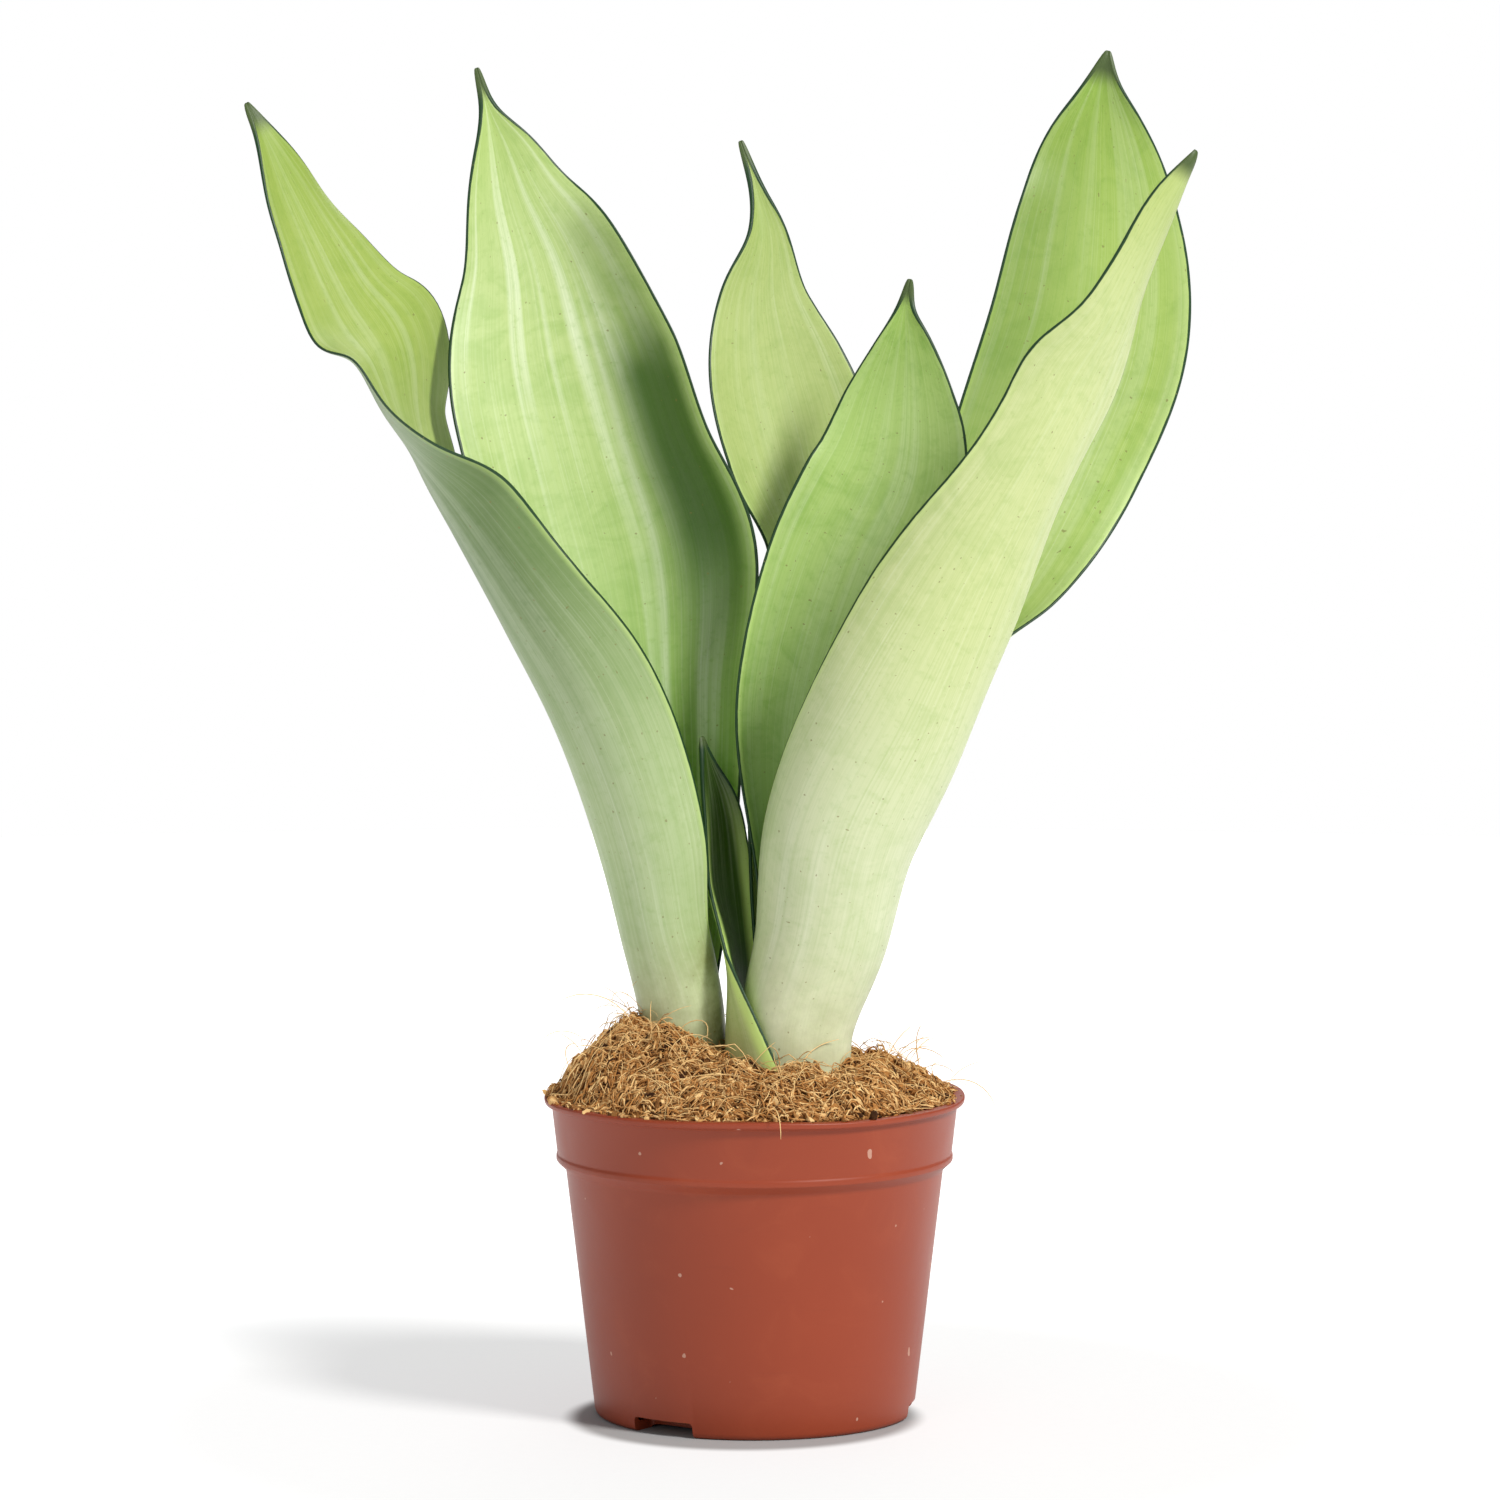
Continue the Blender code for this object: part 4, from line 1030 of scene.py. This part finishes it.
def copies_of(name, shapes, middles, sizes, tones, finish, slot):
    """Many small copies of a few shapes, turned every way and joined into one piece."""
    turns = turn_matrices(len(middles))
    spots, faces, shades, first = [], [], [], 0
    for number, (middle, size, tone) in enumerate(zip(middles, sizes, tones)):
        shape, corners = shapes[number % len(shapes)]
        spots.append(shape @ turns[number].T * size + middle)
        faces.append(corners + first)
        shades.append(np.full(len(shape), tone))
        first += len(shape)
    mesh = bpy.data.meshes.new(name)
    mesh.from_pydata(np.concatenate(spots), [], np.concatenate(faces))
    piece = bpy.data.objects.new(name, mesh)
    bpy.context.scene.collection.objects.link(piece)
    note(mesh, "tone", np.concatenate(shades))
    facing_out(piece)
    mesh.materials.append(finish)
    place_on_frame(piece, slot)


def make_crumbs():
    """The loose crumbs on the heap, a little darker at the right."""
    shapes = bit_shapes(CRUMBS)
    x, y = spread_over_heap(CRUMBS.count, CRUMBS.edge)
    keep = clear_of_shoots(x, y, 1.0) & on_lip_at_left(x, y)
    x, y = x[keep], y[keep]
    sizes = MM * (0.5 + 1.1 * random.power(0.45, len(x)))
    z = heap_height(x, y) + sizes * random.uniform(-0.3, 0.5, len(x)) - 0.4 * MM
    darker = np.where(x > 8.0 * MM, 0.12, 0.0)
    tones = np.clip(random.normal(0.46, 0.27, len(x)) - darker, 0.0, 1.0)
    middles = np.stack([x, y, z], axis=1)
    copies_of("coir_crumbs", shapes, middles, sizes, tones, coir_finish("coir_crumb", 0.4), "coir")


# ---- Coir strands ----------------------------------------
STRAND_POINTS = 10
STRAND_SIZES = (0.6, 1.5)
WELD = 1e-6
LOOSE_THICKNESS = 0.11 * MM
# Strands that lie on the heap: how many, their shortest and longest in millimetres, how much they
# wander and arch, how far out they reach, the points and the thickness of each, and their tones.
Lying = namedtuple("Lying", "count shortest longest wander arch edge points thickness tone spread")
CHIPS = Lying(6400, 2.0, 6.5, 0.15, 0.6, 1.05, 4, 0.24 * MM, 0.55, 0.26)
FIBRES = Lying(1100, 8.0, 24.0, 0.16, 1.2, 1.06, STRAND_POINTS, 0.11 * MM, 0.72, 0.2)


# Single fibres: where each starts (x, y and height), its heading, rise, length, bend and droop, in
# millimetres and degrees.
LOOSE_FIBRES = (
    ((-16.0, -46.0, 103.0), -32.0, 12.0, 32.0, 14.0, 52.0),
    ((3.0, -54.0, 95.5), -62.0, 20.0, 17.0, -24.0, 112.0),
    ((53.0, -16.0, 97.0), -14.0, 22.0, 19.0, -22.0, 92.0),
    ((50.0, -24.0, 97.0), 12.0, 30.0, 16.0, 40.0, 100.0),
    ((-4.0, -44.0, 103.0), 176.0, 6.0, 26.0, 30.0, 34.0),
    ((14.0, -45.0, 102.0), 12.0, 14.0, 27.0, -32.0, 44.0),
    ((-52.0, -6.0, 98.0), 128.0, 58.0, 18.0, -96.0, 74.0),
    ((-34.0, -14.0, 112.0), 152.0, 62.0, 27.0, 66.0, 96.0),
    ((-37.0, -6.0, 113.0), 96.0, 70.0, 22.0, -110.0, 60.0),
    ((-31.0, 2.0, 113.0), 200.0, 66.0, 24.0, 80.0, 110.0),
    ((-48.0, 4.0, 106.0), 160.0, 40.0, 18.0, 90.0, 100.0),
    ((-24.0, -16.0, 108.0), -100.0, 36.0, 20.0, 60.0, 90.0),
    ((44.0, 2.0, 100.0), 24.0, 62.0, 17.0, 80.0, 100.0),
    ((47.0, 6.0, 99.0), 120.0, 66.0, 15.0, -100.0, 80.0),
    ((40.0, -6.0, 101.0), 60.0, 40.0, 20.0, -60.0, 90.0),
)
# Tufts of loose fibres: the middle of each, how far it reaches and how many it has.
LOOSE_TUFTS = (
    ((-36.0, -4.0), 14.0, 44),
    ((44.0, 0.0), 11.0, 16),
    ((-6.0, -38.0), 20.0, 26),
    ((-4.0, 34.0), 26.0, 26),
)
TUFT_RISE, TUFT_LENGTH = (0.5, 1.4), (8.0, 20.0)
TUFT_BEND, TUFT_DROOP = (-2.6, 2.6), (0.4, 2.4)


def loose_path(start, heading, rise, length, bend, droop):
    """A fibre that leaves the coir at a heading and a rise and, along its way, bends and droops."""
    step = length / (STRAND_POINTS - 1)
    place = np.array(start)
    path = []
    for share in np.linspace(0.0, 1.0, STRAND_POINTS):
        path.append(tuple(place))
        way, tilt = heading + bend * share, rise - droop * share
        level = math.cos(tilt)
        place = place + step * np.array([level * math.cos(way), level * math.sin(way), math.sin(tilt)])
    return path


def strands(name, paths, thickness, tones, finish, slot):
    """Thin round strands along the paths: a bevelled curve, turned into a mesh."""
    curve = bpy.data.curves.new(name, "CURVE")
    curve.dimensions = "3D"
    curve.bevel_depth = thickness
    curve.bevel_resolution = 0
    curve.use_fill_caps = True
    for path in paths:
        spline = curve.splines.new("POLY")
        spline.points.add(len(path) - 1)
        spline.points.foreach_set("co", np.column_stack([path, np.ones(len(path))]).ravel())
        size = random.uniform(*STRAND_SIZES)
        taper = 1.0 - 0.6 * np.abs(np.linspace(-1.0, 1.0, len(path))) ** 3
        spline.points.foreach_set("radius", size * taper)
    piece = bpy.data.objects.new(name, curve)
    bpy.context.scene.collection.objects.link(piece)
    only(piece)
    bpy.ops.object.convert(target="MESH")
    piece = bpy.context.active_object
    bpy.ops.object.mode_set(mode="EDIT")
    bpy.ops.mesh.select_all(action="SELECT")
    bpy.ops.mesh.remove_doubles(threshold=WELD)
    bpy.ops.object.mode_set(mode="OBJECT")
    each = len(piece.data.vertices) // len(paths)
    shades = np.repeat(tones, each)
    note(piece.data, "tone", np.resize(shades, len(piece.data.vertices)))
    smooth(piece)
    piece.data.materials.append(finish)
    place_on_frame(piece, slot)


def lying_paths(kind):
    """Strands over the heap that follow it, curl, stay within its edge and start clear of the shoots."""
    x, y = spread_over_heap(kind.count, kind.edge)
    keep = clear_of_shoots(x, y, 2.0) & on_lip_at_left(x, y)
    x, y = x[keep], y[keep]
    many = len(x)
    heading = random.uniform(0.0, 2 * math.pi, many)
    step = MM * random.uniform(kind.shortest, kind.longest, many) / (kind.points - 1)
    lift = MM * random.exponential(kind.arch, many)
    turn = random.normal(0.0, kind.wander, many)
    spots = []
    for share in np.linspace(0.0, 1.0, kind.points):
        z = heap_height(x, y) + lift * math.sin(math.pi * share) + 0.25 * MM
        spots.append(np.stack([x, y, z], axis=1))
        turn = turn + random.normal(0.0, kind.wander * 0.6, many)
        heading = heading + turn
        x, y = x + step * np.cos(heading), y + step * np.sin(heading)
    paths = np.stack(spots, axis=1)
    inside = np.hypot(paths[:, :, 0], paths[:, :, 1]).max(axis=1) < HEAP_RADIUS * kind.edge
    return list(paths[inside])


def lay_strands(name, kind, finish):
    paths = lying_paths(kind)
    tones = np.clip(random.normal(kind.tone, kind.spread, len(paths)), 0.0, 1.0)
    strands(name, paths, kind.thickness, tones, finish, "coir")


def loose_paths():
    """The single fibres, then the tufts."""
    paths = []
    for start, way, rise, length, bend, droop in LOOSE_FIBRES:
        start = tuple(MM * value for value in start)
        way, rise, bend, droop = (math.radians(angle) for angle in (way, rise, bend, droop))
        paths.append(loose_path(start, way, rise, MM * length, bend, droop))
    for middle, reach, count in LOOSE_TUFTS:
        for _ in range(count):
            x, y = (MM * (at + random.uniform(-reach, reach)) for at in middle)
            ground = float(heap_height(np.array([x]), np.array([y]))[0])
            way, rise = random.uniform(0.0, 2 * math.pi), random.uniform(*TUFT_RISE)
            length = MM * random.uniform(*TUFT_LENGTH)
            bend, droop = random.uniform(*TUFT_BEND), random.uniform(*TUFT_DROOP)
            paths.append(loose_path((x, y, ground), way, rise, length, bend, droop))
    return paths


def make_strands():
    """Chopped bits, longer fibres that lie on the heap, and a few pale ones that stand loose."""
    finish = coir_finish("coir_strand", 0.2)
    lay_strands("coir_chips", CHIPS, finish)
    lay_strands("coir_fibres", FIBRES, finish)
    loose = loose_paths()
    tones = np.clip(random.normal(0.88, 0.1, len(loose)), 0.0, 1.0)
    strands("loose_fibres", loose, LOOSE_THICKNESS, tones, finish, "coir")


def make_bark():
    """A few flat bits of bark and husk."""
    shapes = bit_shapes(BARK)
    x, y = spread_over_heap(BARK.count, BARK.edge)
    keep = clear_of_shoots(x, y, 3.0)
    x, y = x[keep], y[keep]
    sizes = MM * random.uniform(1.3, 2.9, len(x))
    middles = np.stack([x, y, heap_height(x, y) + 0.2 * MM], axis=1)
    tones = np.clip(random.normal(0.2, 0.16, len(x)), 0.0, 0.6)
    copies_of("bark_bits", shapes, middles, sizes, tones, coir_finish("bark", 0.8), "coir")


def finish_rhizome():
    """The buried stem keeps its CAD shape and gets a fibrous surface."""
    finish = Finish("rhizome_skin", gloss=0.3)
    at = finish.place()
    rings = finish.noise(at, 160.0, 4.0, 0.6)
    tan = finish.mix(rings, paint(172, 128, 72), paint(206, 168, 112))
    finish.bump(rings, 0.4, 0.5 * MM)
    skin = finish.feed(base_color=tan, roughness=0.7)
    bpy.data.objects["rhizome"].data.materials[0] = skin


set_camera()
light_studio()
lay_floor()
make_pot()
for shoot in (LEFT_SHOOT, RIGHT_SHOOT):
    for level in range(len(shoot.leaves)):
        make_leaf(shoot, level)
make_coir_bed()
make_crumbs()
make_strands()
make_bark()
finish_rhizome()
